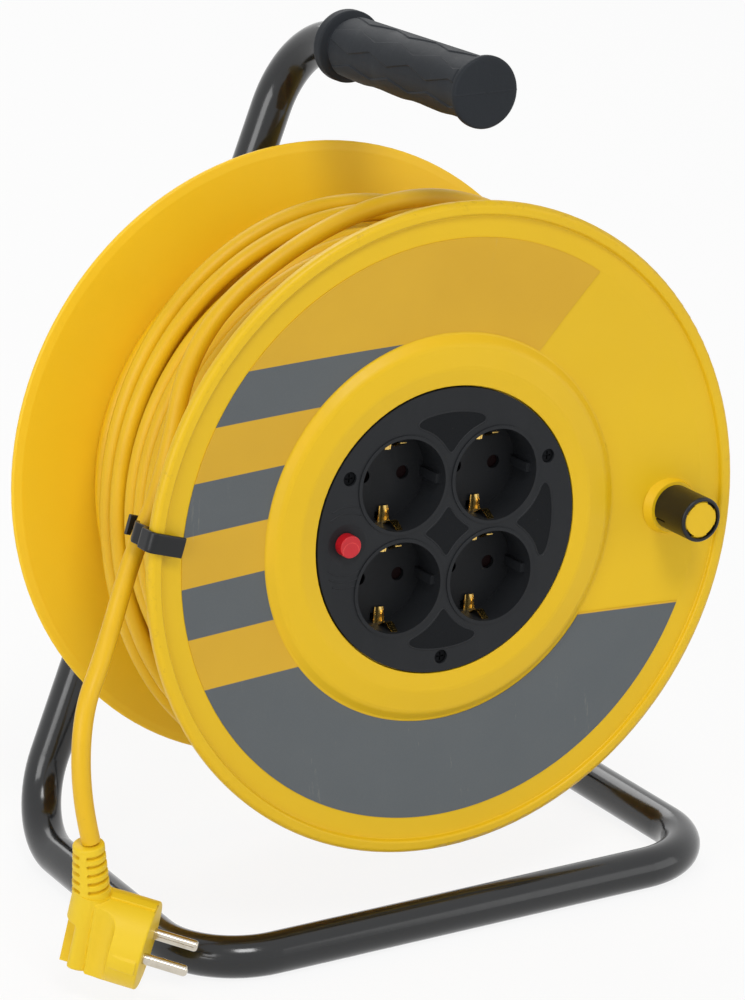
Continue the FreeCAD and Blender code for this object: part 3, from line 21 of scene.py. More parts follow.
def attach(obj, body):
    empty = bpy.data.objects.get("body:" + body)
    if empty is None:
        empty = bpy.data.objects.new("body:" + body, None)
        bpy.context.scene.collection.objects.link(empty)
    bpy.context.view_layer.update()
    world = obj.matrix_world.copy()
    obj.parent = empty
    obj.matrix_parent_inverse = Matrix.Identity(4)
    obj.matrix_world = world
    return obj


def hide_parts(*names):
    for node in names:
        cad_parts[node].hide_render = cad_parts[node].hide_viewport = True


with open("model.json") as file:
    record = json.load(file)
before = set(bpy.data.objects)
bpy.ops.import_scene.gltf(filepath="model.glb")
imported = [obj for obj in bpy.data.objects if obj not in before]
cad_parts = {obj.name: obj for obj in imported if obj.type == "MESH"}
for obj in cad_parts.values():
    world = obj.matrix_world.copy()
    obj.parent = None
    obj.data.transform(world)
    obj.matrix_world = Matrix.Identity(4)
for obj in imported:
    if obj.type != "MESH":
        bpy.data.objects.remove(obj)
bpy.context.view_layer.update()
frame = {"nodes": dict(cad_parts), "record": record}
log = logging.getLogger("reel")

MM = 0.001
HINGE_Y = 70.0
HINGE = next(j for j in frame["record"]["behaviour"]["joints"] if j["name"] == "drum_spin")
AXLE = np.array(HINGE["pos_m"]) / MM - np.array([0.0, HINGE_Y, 0.0])
TURN = 2 * math.pi
PLATE_TILT = math.radians(2.2)
RIDGE_ROOT = 0.05
SQUARENESS = 0.3
FLUTES = 5
WHITE = (1, 1, 1, 1)


# Points, grids and meshes

def placed(points: np.ndarray) -> np.ndarray:
    """Millimetre points about the axle as metre points in the floor frame."""
    return (np.asarray(points, float) + AXLE) * MM


def around(radius: np.ndarray, angle: np.ndarray, y: np.ndarray) -> np.ndarray:
    """Points at a radius and an angle about the axle: x = r cos a, z = r sin a."""
    radius, angle, y = np.broadcast_arrays(radius, angle, y)
    return np.stack([radius * np.cos(angle), y, radius * np.sin(angle)], axis=-1)


def unit(vectors: np.ndarray) -> np.ndarray:
    """Vectors along the last axis, brought to length one."""
    return vectors / np.linalg.norm(vectors, axis=-1, keepdims=True)


def aside(ahead: np.ndarray) -> np.ndarray:
    """Unit normals of flat directions, to their left."""
    ahead = unit(ahead)
    return np.stack([-ahead[:, 1], ahead[:, 0]], -1)


def circle(angle: np.ndarray) -> np.ndarray:
    """Points of the unit circle at the angles, two columns."""
    return np.stack([np.cos(angle), np.sin(angle)], -1)


def turned(path: np.ndarray, angle: float) -> np.ndarray:
    """Flat points turned anticlockwise about their origin."""
    c, s = math.cos(angle), math.sin(angle)
    x, z = path[..., 0], path[..., 1]
    return np.stack([x * c - z * s, x * s + z * c], -1)


def upright(flat: np.ndarray, y: np.ndarray | float) -> np.ndarray:
    """Points of x and z as points about the axle, at y."""
    return np.stack([flat[..., 0], np.broadcast_to(y, flat.shape[:-1]), flat[..., 1]], -1)


def quarter(way: np.ndarray, radius: float) -> np.ndarray:
    """One at zero and nothing at the radius, as a quarter circle falls: √(1 - t²)."""
    return np.sqrt(1 - (np.clip(way, 0, radius) / radius) ** 2)


def smooth_step(value: np.ndarray, low: float, high: float) -> np.ndarray:
    """Zero below low, one above high, 3t² - 2t³ between them."""
    t = np.clip((value - low) / (high - low), 0, 1)
    return t * t * (3 - 2 * t)


def past(value: np.ndarray, line: np.ndarray | float, soft: float) -> np.ndarray:
    """One past a line and zero before it, smooth over soft on both sides."""
    return smooth_step(value, line - soft, line + soft)


def rounded(corners: Sequence[tuple], steps: int) -> np.ndarray:
    """Polyline through corners whose given roundings become tangent arcs.

    Args:
        corners: tuples of two coordinates and, where it is round, a radius.
        steps: points in each arc.
    Returns:
        Array of points, two columns.
    """
    flat = [np.array(c[:2], float) for c in corners]
    points = []
    for i, corner in enumerate(corners):
        radius = corner[2] if len(corner) > 2 else 0.0
        if radius <= 0 or i in (0, len(flat) - 1):
            points.append(flat[i])
            continue
        back, ahead = unit(flat[i - 1] - flat[i]), unit(flat[i + 1] - flat[i])
        half = math.acos(float(np.clip(back @ ahead, -1, 1))) / 2
        reach = radius / math.tan(half)
        middle = flat[i] + unit(back + ahead) * radius / math.sin(half)
        start, stop = flat[i] + back * reach - middle, flat[i] + ahead * reach - middle
        share = np.linspace(0, 1, steps)[:, None]
        spread = math.pi - 2 * half
        arc = np.sin((1 - share) * spread) * start + np.sin(share * spread) * stop
        points.extend(middle + arc / math.sin(spread))
    return np.array(points)


def linked(name: str, data: ID) -> Object:
    """New object of some data, in the scene."""
    made = bpy.data.objects.new(name, data)
    bpy.context.scene.collection.objects.link(made)
    return made


def aimed(name: str, data: ID, axes: Sequence[np.ndarray], place: np.ndarray) -> Object:
    """Linked object with its own x, y and z along the given ones, at a metre point."""
    made = linked(name, data)
    turn = np.eye(4)
    turn[:3, :3] = np.column_stack(axes)
    turn[:3, 3] = place
    made.matrix_world = Matrix(turn.tolist())
    return made


class Edge(Enum):
    """How a grid's side is finished."""

    OPEN = "open"
    JOINED = "joined"
    CAPPED = "capped"


def surface(name: str, grid: np.ndarray, rows: Edge = Edge.OPEN, columns: Edge = Edge.OPEN,
            crease: float = 40.0, solid: bool = True) -> Object:
    """Mesh of quads over a grid of points.

    Args:
        name: object name.
        grid: metre points, rows by columns by three.
        rows: JOINED joins the last row to the first, CAPPED closes both with a face.
        columns: JOINED joins the last column to the first.
        crease: edges that turn by more degrees than this stay sharp.
        solid: turn the faces outwards, for a closed form.
    Returns:
        The linked object, at the origin.
    """
    height, width = grid.shape[:2]
    index = np.arange(height * width).reshape(height, width)
    if rows is Edge.JOINED:
        index = np.vstack([index, index[:1]])
    if columns is Edge.JOINED:
        index = np.hstack([index, index[:, :1]])
    quads = np.stack([index[:-1, :-1], index[1:, :-1], index[1:, 1:], index[:-1, 1:]], -1)
    faces = quads.reshape(-1, 4).tolist()
    if rows is Edge.CAPPED:
        ring = np.arange(height * width).reshape(height, width)
        faces += [ring[0].tolist(), ring[-1][::-1].tolist()]
    mesh = bpy.data.meshes.new(name)
    mesh.from_pydata(grid.reshape(-1, 3).tolist(), [], faces)
    if solid:
        shell = bmesh.new()
        shell.from_mesh(mesh)
        bmesh.ops.remove_doubles(shell, verts=shell.verts, dist=1e-7)
        bmesh.ops.recalc_face_normals(shell, faces=shell.faces)
        shell.to_mesh(mesh)
        shell.free()
    mesh.shade_smooth()
    mesh.set_sharp_from_angle(angle=math.radians(crease))
    return linked(name, mesh)


def joined(name: str, parts: Sequence[Object]) -> Object:
    """One object from several, under one name."""
    bpy.ops.object.select_all(action="DESELECT")
    for part in parts:
        part.select_set(True)
    bpy.context.view_layer.objects.active = parts[0]
    bpy.ops.object.join()
    parts[0].name = name
    return parts[0]


def even(path: np.ndarray, step: float) -> np.ndarray:
    """Points at even steps along a polyline."""
    path = np.asarray(path, float)
    along = np.concatenate([[0.0], np.cumsum(np.linalg.norm(np.diff(path, axis=0), axis=1))])
    at = np.linspace(0, along[-1], max(2, round(along[-1] / step) + 1))
    return np.stack([np.interp(at, along, path[:, i]) for i in range(path.shape[1])], -1)


def beads(name: str, path: np.ndarray, width: float, height: float, y: float) -> Object:
    """Low rounded ridge along a closed path of x and z, standing on a plane at y.

    The section is a half wave: height times the sine of the way across the width.
    """
    side = aside(np.roll(path, -1, 0) - np.roll(path, 1, 0))
    across = np.linspace(-0.5, 0.5, 7)
    flat = path[:, None, :] + side[:, None, :] * across[None, :, None] * width
    rise = y + RIDGE_ROOT - (height + RIDGE_ROOT) * np.cos(across * math.pi)[None, :]
    return surface(name, placed(upright(flat, rise)), Edge.JOINED, solid=False, crease=80)


def ribbon(name: str, path: np.ndarray, width: np.ndarray, thickness: float,
           place: Callable[[np.ndarray], np.ndarray], flute: np.ndarray | float = 0.0) -> Object:
    """Bent strip: a rounded rectangle carried along a flat path.

    The section is a superellipse: across = cos b and rise = sin b, each raised to a small
    power with its sign kept. Flutes add a cosine of the way across to the rise.

    Args:
        name: object name.
        path: points of the strip's middle, two columns.
        width: width at each point.
        thickness: wall.
        place: turns points of path plane and way across into points about the axle.
        flute: depth of the flutes at each point.
    Returns:
        The strip, closed at both ends.
    """
    normal = aside(np.gradient(path, axis=0))
    b = np.linspace(0, TURN, 48, endpoint=False)
    across, rise = (np.sign(w) * np.abs(w) ** SQUARENESS for w in (np.cos(b), np.sin(b)))
    wave = np.broadcast_to(np.asarray(flute, float), (len(path),))[:, None] * np.cos(
        across * math.pi * FLUTES / 2)[None, :]
    lift = thickness / 2 * rise[None, :] + wave
    flat = path[:, None, :] + normal[:, None, :] * lift[..., None]
    way = np.asarray(width, float).reshape(-1, 1) / 2 * across[None, :]
    way = np.broadcast_to(way, lift.shape)
    grid = np.concatenate([flat, way[..., None]], -1)
    return surface(name, placed(place(grid)), Edge.CAPPED, Edge.JOINED, 50)


def tilted(path: np.ndarray) -> np.ndarray:
    """Flat points of the socket plate, turned clockwise as the plate is."""
    return turned(path, -PLATE_TILT)


def cord_curve(name: str, points: np.ndarray, radius: float, resolution: int) -> Object:
    """Round cord on one smooth spline with the given metre points as its control points."""
    curve = bpy.data.curves.new(name, "CURVE")
    curve.dimensions = "3D"
    spline = curve.splines.new("NURBS")
    spline.points.add(len(points) - 1)
    spline.points.foreach_set("co", np.column_stack([points, np.ones(len(points))]).ravel())
    spline.order_u = 3
    spline.use_endpoint_u = True
    spline.use_smooth = True
    spline.resolution_u = resolution
    curve.resolution_u = resolution
    curve.bevel_depth = radius
    curve.bevel_resolution = 4
    curve.use_fill_caps = True
    return linked(name, curve)


# Shader maths

class Signal:
    """A float socket of a node tree, so that maths on it reads as an expression."""

    def __init__(self, shader: "Nodes", socket: NodeSocket) -> None:
        """Wrap a socket of one node tree."""
        self.shader = shader
        self.socket = socket

    def math(self, operation: str, *others: object) -> "Signal":
        """Result of one Math node on this signal and others."""
        inputs = {0: self}
        inputs.update({i + 1: other for i, other in enumerate(others)})
        made = self.shader.node("ShaderNodeMath", {"operation": operation}, inputs)
        return Signal(self.shader, made.outputs[0])

    def __add__(self, other: object) -> "Signal":
        """Sum."""
        return self.math("ADD", other)

    __radd__ = __add__

    def __mul__(self, other: object) -> "Signal":
        """Product."""
        return self.math("MULTIPLY", other)

    __rmul__ = __mul__

    def __sub__(self, other: object) -> "Signal":
        """Difference."""
        return self.math("SUBTRACT", other)

    def __rsub__(self, other: float) -> "Signal":
        """Number less this signal."""
        return (self * -1.0) + other

    def ramp(self, low: float, high: float) -> "Signal":
        """Zero at low, one at high, held outside and eased between."""
        made = self.shader.node(
            "ShaderNodeMapRange", {"interpolation_type": "SMOOTHSTEP", "clamp": True},
            {"Value": self, "From Min": low, "From Max": high})
        return Signal(self.shader, made.outputs["Result"])

    def band(self, low: float, high: float, soft: float) -> "Signal":
        """One between low and high, fading over soft outside of them."""
        return self.ramp(low - soft, low) * (1.0 - self.ramp(high, high + soft))


def linear(code: int) -> tuple:
    """Linear colour from a 0xRRGGBB screen colour."""
    parts = [((code >> shift) & 255) / 255 for shift in (16, 8, 0)]
    return (*(p / 12.92 if p <= 0.04045 else ((p + 0.055) / 1.055) ** 2.4 for p in parts), 1.0)


class Nodes:
    """Node tree of a material or a world, under construction."""

    def __init__(self, owner: ID) -> None:
        """Start with the owner's nodes cleared."""
        owner.use_nodes = True
        self.tree = owner.node_tree
        self.tree.nodes.clear()

    def node(self, kind: str, settings: dict, inputs: dict) -> Node:
        """New node with its settings and the values or links of its sockets."""
        made = self.tree.nodes.new(kind)
        for key, value in settings.items():
            setattr(made, key, value)
        for key, value in inputs.items():
            self.feed(made.inputs[key], value)
        return made

    def feed(self, socket: NodeSocket, value: object) -> None:
        """Give a socket a signal, another socket or a plain value."""
        if isinstance(value, Signal):
            value = value.socket
        if isinstance(value, NodeSocket):
            self.tree.links.new(value, socket)
        else:
            socket.default_value = value

    def rays(self, *kinds: str) -> Signal:
        """One for rays of these kinds, zero for all others."""
        path = self.node("ShaderNodeLightPath", {}, {})
        first, *others = [Signal(self, path.outputs[f"Is {kind} Ray"]) for kind in kinds]
        for other in others:
            first = first.math("MAXIMUM", other)
        return first


class Shader(Nodes):
    """One material under construction, with its Principled shader."""

    def __init__(self, name: str) -> None:
        """Start a material of that name."""
        self.material = bpy.data.materials.new(name)
        super().__init__(self.material)
        self.output = self.node("ShaderNodeOutputMaterial", {}, {})
        self.bsdf = self.node("ShaderNodeBsdfPrincipled", {}, {})
        self.feed(self.output.inputs["Surface"], self.bsdf.outputs[0])
        self.coords = self.node("ShaderNodeTexCoord", {}, {}).outputs["Object"]

    def noise(self, scale: float, detail: float = 3.0, rough: float = 0.55,
              stretch: tuple | None = None) -> Signal:
        """Fractal noise from 0 to 1, about 1 / scale metres across."""
        vector = self.coords
        if stretch:
            inputs = {"Vector": vector, "Scale": stretch}
            vector = self.node("ShaderNodeMapping", {}, inputs).outputs[0]
        made = self.node("ShaderNodeTexNoise", {}, {
            "Vector": vector, "Scale": scale, "Detail": detail, "Roughness": rough})
        return Signal(self, made.outputs["Fac"])

    def axes(self, origin: np.ndarray = AXLE) -> tuple:
        """Millimetre x, y and z of the surface about a point of the reel."""
        split = self.node("ShaderNodeSeparateXYZ", {}, {"Vector": self.coords})
        return tuple(
            (Signal(self, split.outputs[i]) - float(origin[i]) * MM) * (1 / MM) for i in range(3))

    def spin_radius(self, x: float = 0.0, z: float = 0.0) -> Signal:
        """Millimetre distance from a line along Y at x and z about the axle."""
        along, _, up = self.axes(AXLE + np.array([x, 0.0, z]))
        return (along * along + up * up).math("SQRT")

    def mix(self, share: object, first: object, second: object) -> NodeSocket:
        """Colour from first to second with share; 0xRRGGBB numbers are screen colours."""
        first, second = (linear(c) if isinstance(c, int) else c for c in (first, second))
        made = self.node("ShaderNodeMix", {"data_type": "RGBA"}, {0: share, 6: first, 7: second})
        return made.outputs[2]

    def bent(self, *layers: tuple) -> NodeSocket:
        """Normal bent in turn by height signals, each given with its millimetres."""
        below = {}
        for height, depth in layers:
            inputs = {"Height": height, "Strength": 1.0, "Distance": depth * MM}
            below = {"Normal": self.node("ShaderNodeBump", {}, inputs | below).outputs[0]}
        return below["Normal"]

    def finish(self, **sockets: object) -> Material:
        """Set the Principled shader's sockets by name and hand the material over."""
        for key, value in sockets.items():
            self.feed(self.bsdf.inputs[key.replace("_", " ").title().replace("Ior", "IOR")], value)
        return self.material


# Finishes

@dataclass(frozen=True)
class Finish:
    """A material's name and the two screen colours that its mottling goes between."""

    name: str
    colour: int
    shade: int


@dataclass(frozen=True)
class Moulded(Finish):
    """Moulded plastic: mottled colour, spark-eroded grain and rubbed patches."""

    roughness: float = 0.42
    grain: float = 900.0
    grain_depth: float = 0.02
    rub: float = 0.12
    specular: float = 0.5

    def build(self) -> Material:
        """Colour follows a broad noise, roughness a rub noise, and two grains bend the normal."""
        s = Shader(self.name)
        broad = s.noise(14, 2).ramp(0.3, 0.7)
        fine = s.noise(self.grain, 2, 0.6)
        dust = s.noise(160, 4, 0.7).ramp(0.55, 0.8)
        colour = s.mix(broad * 0.35 + dust * 0.2, self.colour, self.shade)
        rubbed = s.noise(60, 5, 0.7, (1, 1, 0.25)).ramp(0.45, 0.75)
        rough = rubbed * (-self.rub) + fine * 0.08 + self.roughness
        normal = s.bent((fine, self.grain_depth), (s.noise(30, 2), 0.06))
        return s.finish(base_color=colour, roughness=rough, normal=normal,
                        specular_ior_level=self.specular)


@dataclass(frozen=True)
class Flange(Finish):
    """Yellow drum plastic with fine turning marks and scuffs at the rims."""

    rim: float

    def build(self) -> Material:
        """Scuffs show where the radius is near the rim; rings follow the radius."""
        s = Shader(self.name)
        radius = s.spin_radius()
        broad = s.noise(9, 2).ramp(0.3, 0.7)
        colour = s.mix(broad * 0.4, self.colour, self.shade)
        scuff = radius.ramp(self.rim - 5, self.rim) * s.noise(240, 6, 0.75).ramp(0.56, 0.68)
        colour = s.mix(scuff * 0.35, colour, 0xA87F24)
        grain = s.noise(1400, 2, 0.6)
        rings = (radius * 5.2 + s.noise(20, 2) * 3.0).math("SINE")
        rough = grain * 0.08 + s.noise(45, 4, 0.7).ramp(0.4, 0.8) * 0.12 + 0.36
        normal = s.bent((grain, 0.012), (rings, 0.002), (s.noise(26, 2), 0.1))
        return s.finish(base_color=colour, roughness=rough, normal=normal, specular_ior_level=0.35)


@dataclass(frozen=True)
class Jacket(Finish):
    """Soft cord sheath, a little waxy, with scuffs and a faint lay of the cores under it."""

    def build(self) -> Material:
        """Broad dirt darkens the colour; fine noise and soft lumps bend the normal."""
        s = Shader(self.name)
        broad = s.noise(22, 3).ramp(0.3, 0.75)
        dirt = s.noise(300, 5, 0.7).ramp(0.6, 0.8)
        colour = s.mix(broad * 0.45, self.colour, self.shade)
        colour = s.mix(dirt * 0.25, colour, 0x9A7426)
        rough = s.noise(500, 3) * 0.14 + broad * 0.08 + 0.34
        normal = s.bent((s.noise(1700, 2, 0.6), 0.012), (s.noise(120, 2), 0.12))
        return s.finish(base_color=colour, roughness=rough, normal=normal, specular_ior_level=0.35)


@dataclass(frozen=True)
class Enamel(Finish):
    """Stoved paint on steel tube: orange peel, dust and scuffs on the floor runs."""

    def build(self) -> Material:
        """Peel is a medium noise; scuffs gather where z is near the floor."""
        s = Shader(self.name)
        _, _, up = s.axes(np.zeros(3))
        scuff = (1.0 - up.ramp(0.5, 3.5)) * s.noise(260, 6, 0.75).ramp(0.5, 0.62)
        speck = s.noise(420, 5, 0.7).ramp(0.66, 0.74)
        colour = s.mix(s.noise(11, 2), self.colour, self.shade)
        colour = s.mix(scuff * 0.7 + speck * 0.1, colour, 0x6E7072)
        rough = s.noise(70, 4, 0.7).ramp(0.35, 0.8) * 0.1 + scuff * 0.3 + 0.17
        normal = s.bent((s.noise(330, 2), 0.02), (s.noise(60, 2), 0.05))
        return s.finish(base_color=colour, roughness=rough, normal=normal, coat_weight=0.3,
                        coat_roughness=0.1, specular_ior_level=0.4)


class Metal(Enum):
    """Bare metals by light and dark colour, roughness and depth of the streaks."""

    STEEL = ("reel_zinc_steel", 0xB9BCC0, 0x8E9297, 0.3, 0.01)
    NICKEL = ("reel_nickel", 0xCFC8BA, 0xA79D8C, 0.1, 0.0004)
    BRASS = ("reel_brass", 0xF0CC78, 0xC89E4E, 0.12, 0.002)
    BLACK = ("reel_black_steel", 0x1A1B1D, 0x101112, 0.42, 0.01)

    def build(self) -> Material:
        """Brushed streaks and stains vary the roughness and the colour."""
        name, light, dark, rough, depth = self.value
        s = Shader(name)
        stain = s.noise(130, 4, 0.65).ramp(0.35, 0.75)
        streak = s.noise(700, 3, 0.6, (1, 0.12, 1))
        colour = s.mix(stain * 0.6, light, dark)
        return s.finish(base_color=colour, metallic=1.0, normal=s.bent((streak, depth)),
                        roughness=(streak * 0.4 + stain * 0.3) * rough + rough)


@dataclass(frozen=True)
class Print(Finish):
    """Printed face of the label: gold ground, grey bars and a grey crescent."""

    grey: int
    bars: tuple
    crescent_top: float

    def build(self) -> Material:
        """Bars are bands of z left of the axle; the crescent is all below its top edge."""
        s = Shader(self.name)
        x, _, z = s.axes()
        left = 1.0 - x.ramp(-16.0, -15.4)
        mask = 1.0 - z.ramp(self.crescent_top - 0.25, self.crescent_top + 0.25)
        for low, high in self.bars:
            mask = mask.math("MAXIMUM", z.band(low, high, 0.35) * left)
        specks = s.noise(1500, 2, 0.6)
        ground = s.mix(s.noise(12, 3).ramp(0.3, 0.7) * 0.5, self.colour, self.shade)
        grey = s.mix(specks * 0.35 + s.noise(40, 4) * 0.3, self.grey, 0x64686A)
        colour = s.mix(mask, ground, grey)
        scratch = s.noise(90, 6, 0.8, (1, 1, 0.1)).ramp(0.62, 0.68)
        colour = s.mix(scratch * 0.12, colour, 0xB9B4A4)
        rough = scratch * 0.15 + s.noise(35, 3) * 0.15 + 0.26
        normal = s.bent((mask + specks * 0.25, 0.02), (s.noise(34, 3), 0.08))
        return s.finish(base_color=colour, roughness=rough, normal=normal, specular_ior_level=0.35)


@dataclass(frozen=True)
class Cap(Finish):
    """Glossy button whose edge carries a thin, rubbed, lighter ring."""

    ring: int
    centre: tuple
    radius: float

    def build(self) -> Material:
        """The ring is a band of the distance from the button's own axis."""
        s = Shader(self.name)
        rubbed = s.spin_radius(*self.centre).band(self.radius - 0.1, self.radius + 0.1, 0.15)
        worn = s.noise(700, 3).ramp(0.25, 0.6)
        base = s.mix(s.noise(200, 3).ramp(0.35, 0.7) * 0.3, self.colour, self.shade)
        colour = s.mix(rubbed * worn * 0.8, base, self.ring)
        return s.finish(base_color=colour, roughness=s.noise(300, 3) * 0.12 + 0.28,
                        normal=s.bent((s.noise(900, 2), 0.01)), specular_ior_level=0.45)


class Finishes:
    """Every material of the reel, built once."""

    def __init__(self) -> None:
        """Build the materials from their colours and sizes."""
        self.drum = Flange("reel_drum_yellow", 0xE4BA12, 0xDAAF10, 142.5).build()
        # The rear flange is the drum's yellow plastic. Its lighter, more lemon colours are painted
        # light, standing in for the light from the left and the yellow bounce between the flanges.
        self.rear = Flange("reel_rear_yellow_painted_light", 0xFACC24, 0xF0C01C, 146.0).build()
        self.jacket = Jacket("reel_cord_yellow", 0xE6B716, 0xD5A40F).build()
        self.plug = Moulded(
            "reel_plug_yellow", 0xEAC61C, 0xE0B914, 0.46, 1100, 0.03, 0.06, 0.4).build()
        self.label = Print(
            "reel_label", 0xD9AB22, 0xCB9C1E, 0x51575B,
            ((61.7, 83.0), (17.2, 39.0), (-27.0, -5.1)), -50.0).build()
        self.enamel = Enamel("reel_tube_black", 0x0D0F11, 0x16181B).build()
        self.grip = Moulded(
            "reel_grip_rubber", 0x1D2126, 0x16191D, 0.6, 1300, 0.05, 0.1, 0.25).build()
        self.plate = Moulded(
            "reel_plate_black", 0x1B1D20, 0x141619, 0.55, 1000, 0.03, 0.14, 0.25).build()
        # The panels are the plate's black made darker: partly a rougher textured finish, partly
        # painted shade of a recess, since the pads lie a little proud of the face.
        self.panel = Moulded(
            "reel_panel_black_painted_shade", 0x111316, 0x0C0E10, 0.7, 2200, 0.12, 0.02, 0.15).build()
        self.sleeve = Moulded(
            "reel_sleeve_black", 0x131416, 0x0D0E0F, 0.34, 900, 0.02, 0.1, 0.35).build()
        self.button = Cap(
            "reel_button_red", 0xC01622, 0xA5141E, 0xDC453F, (-48.7, -0.4), 3.75).build()
        self.shutter = Moulded("reel_shutter_red", 0x1A0809, 0x120506, 0.6, specular=0.12).build()
        self.insulator = Moulded(
            "reel_insulator_grey", 0x2A2C2E, 0x1E2022, 0.55, specular=0.3).build()
        self.steel, self.nickel, self.brass, self.black_steel = (
            metal.build() for metal in (Metal.STEEL, Metal.NICKEL, Metal.BRASS, Metal.BLACK))


def dress(piece: Object, material: Material) -> None:
    """Give every material slot of a piece the finish."""
    if not piece.data.materials:
        piece.data.materials.append(material)
    for i in range(len(piece.data.materials)):
        piece.data.materials[i] = material


@dataclass
class Assembly:
    """Shared ways of the sub-assemblies: they carry the finishes and report their pieces."""

    finishes: Finishes

    def settle(self, piece: Object, body: str, slot: str, material: Material,
               *nodes: str) -> Object:
        """Dress a new piece, let it ride on a body and stand for CAD nodes."""
        dress(piece, material)
        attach(piece, body)
        if nodes:
            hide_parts(*nodes)
        log.info("made %s on %s", piece.name, body)
        return piece

    def keep(self, material: Material, *nodes: str) -> None:
        """Give CAD nodes that stay as they are their finish."""
        for name in nodes:
            dress(frame["nodes"][name], material)
            log.info("dressed %s", name)


# Sub-assemblies

@dataclass
class FreeCord(Assembly):
    """Last half turn of cord and its free length down to the plug."""

    radius: float = 4.0
    length: float = 0.5259
    turn_out: tuple = (
        (0.0, 120.4, 58.0), (13.1, 124.2, 61.8), (38.0, 131.0, 69.5), (63.0, 135.6, 63.5),
        (88.0, 137.0, 49.0), (113.0, 136.4, 38.5), (138.9, 139.1, 36.3))
    hanging: tuple = (
        (-122.9, 26.0, 34.3), (-140.1, 20.5, 7.7), (-157.3, 13.0, -31.2), (-171.8, 3.5, -50.3),
        (-176.7, -4.15, -82.7), (-171.8, -3.35, -103.45))

    def route(self) -> np.ndarray:
        """Control points in the floor frame: polar ones on the drum, then plain ones."""
        polar = np.array(self.turn_out)
        drum = around(polar[:, 1], np.radians(polar[:, 0]), polar[:, 2])
        return placed(np.vstack([drum, np.array(self.hanging)]))

    def make(self) -> Object:
        """The cord as one spline; its plug goes with it."""
        cord = cord_curve("hanging_cord_skin", self.route(), self.radius * MM, 24)
        return self.settle(cord, "frame", "yellow_cord", self.finishes.jacket, "hanging_cord")

    def declare(self, cord: Object, pieces: Sequence[Object]) -> None:
        """Work out the first control point of the cord's route, and nothing more."""
        start = self.route()[0]


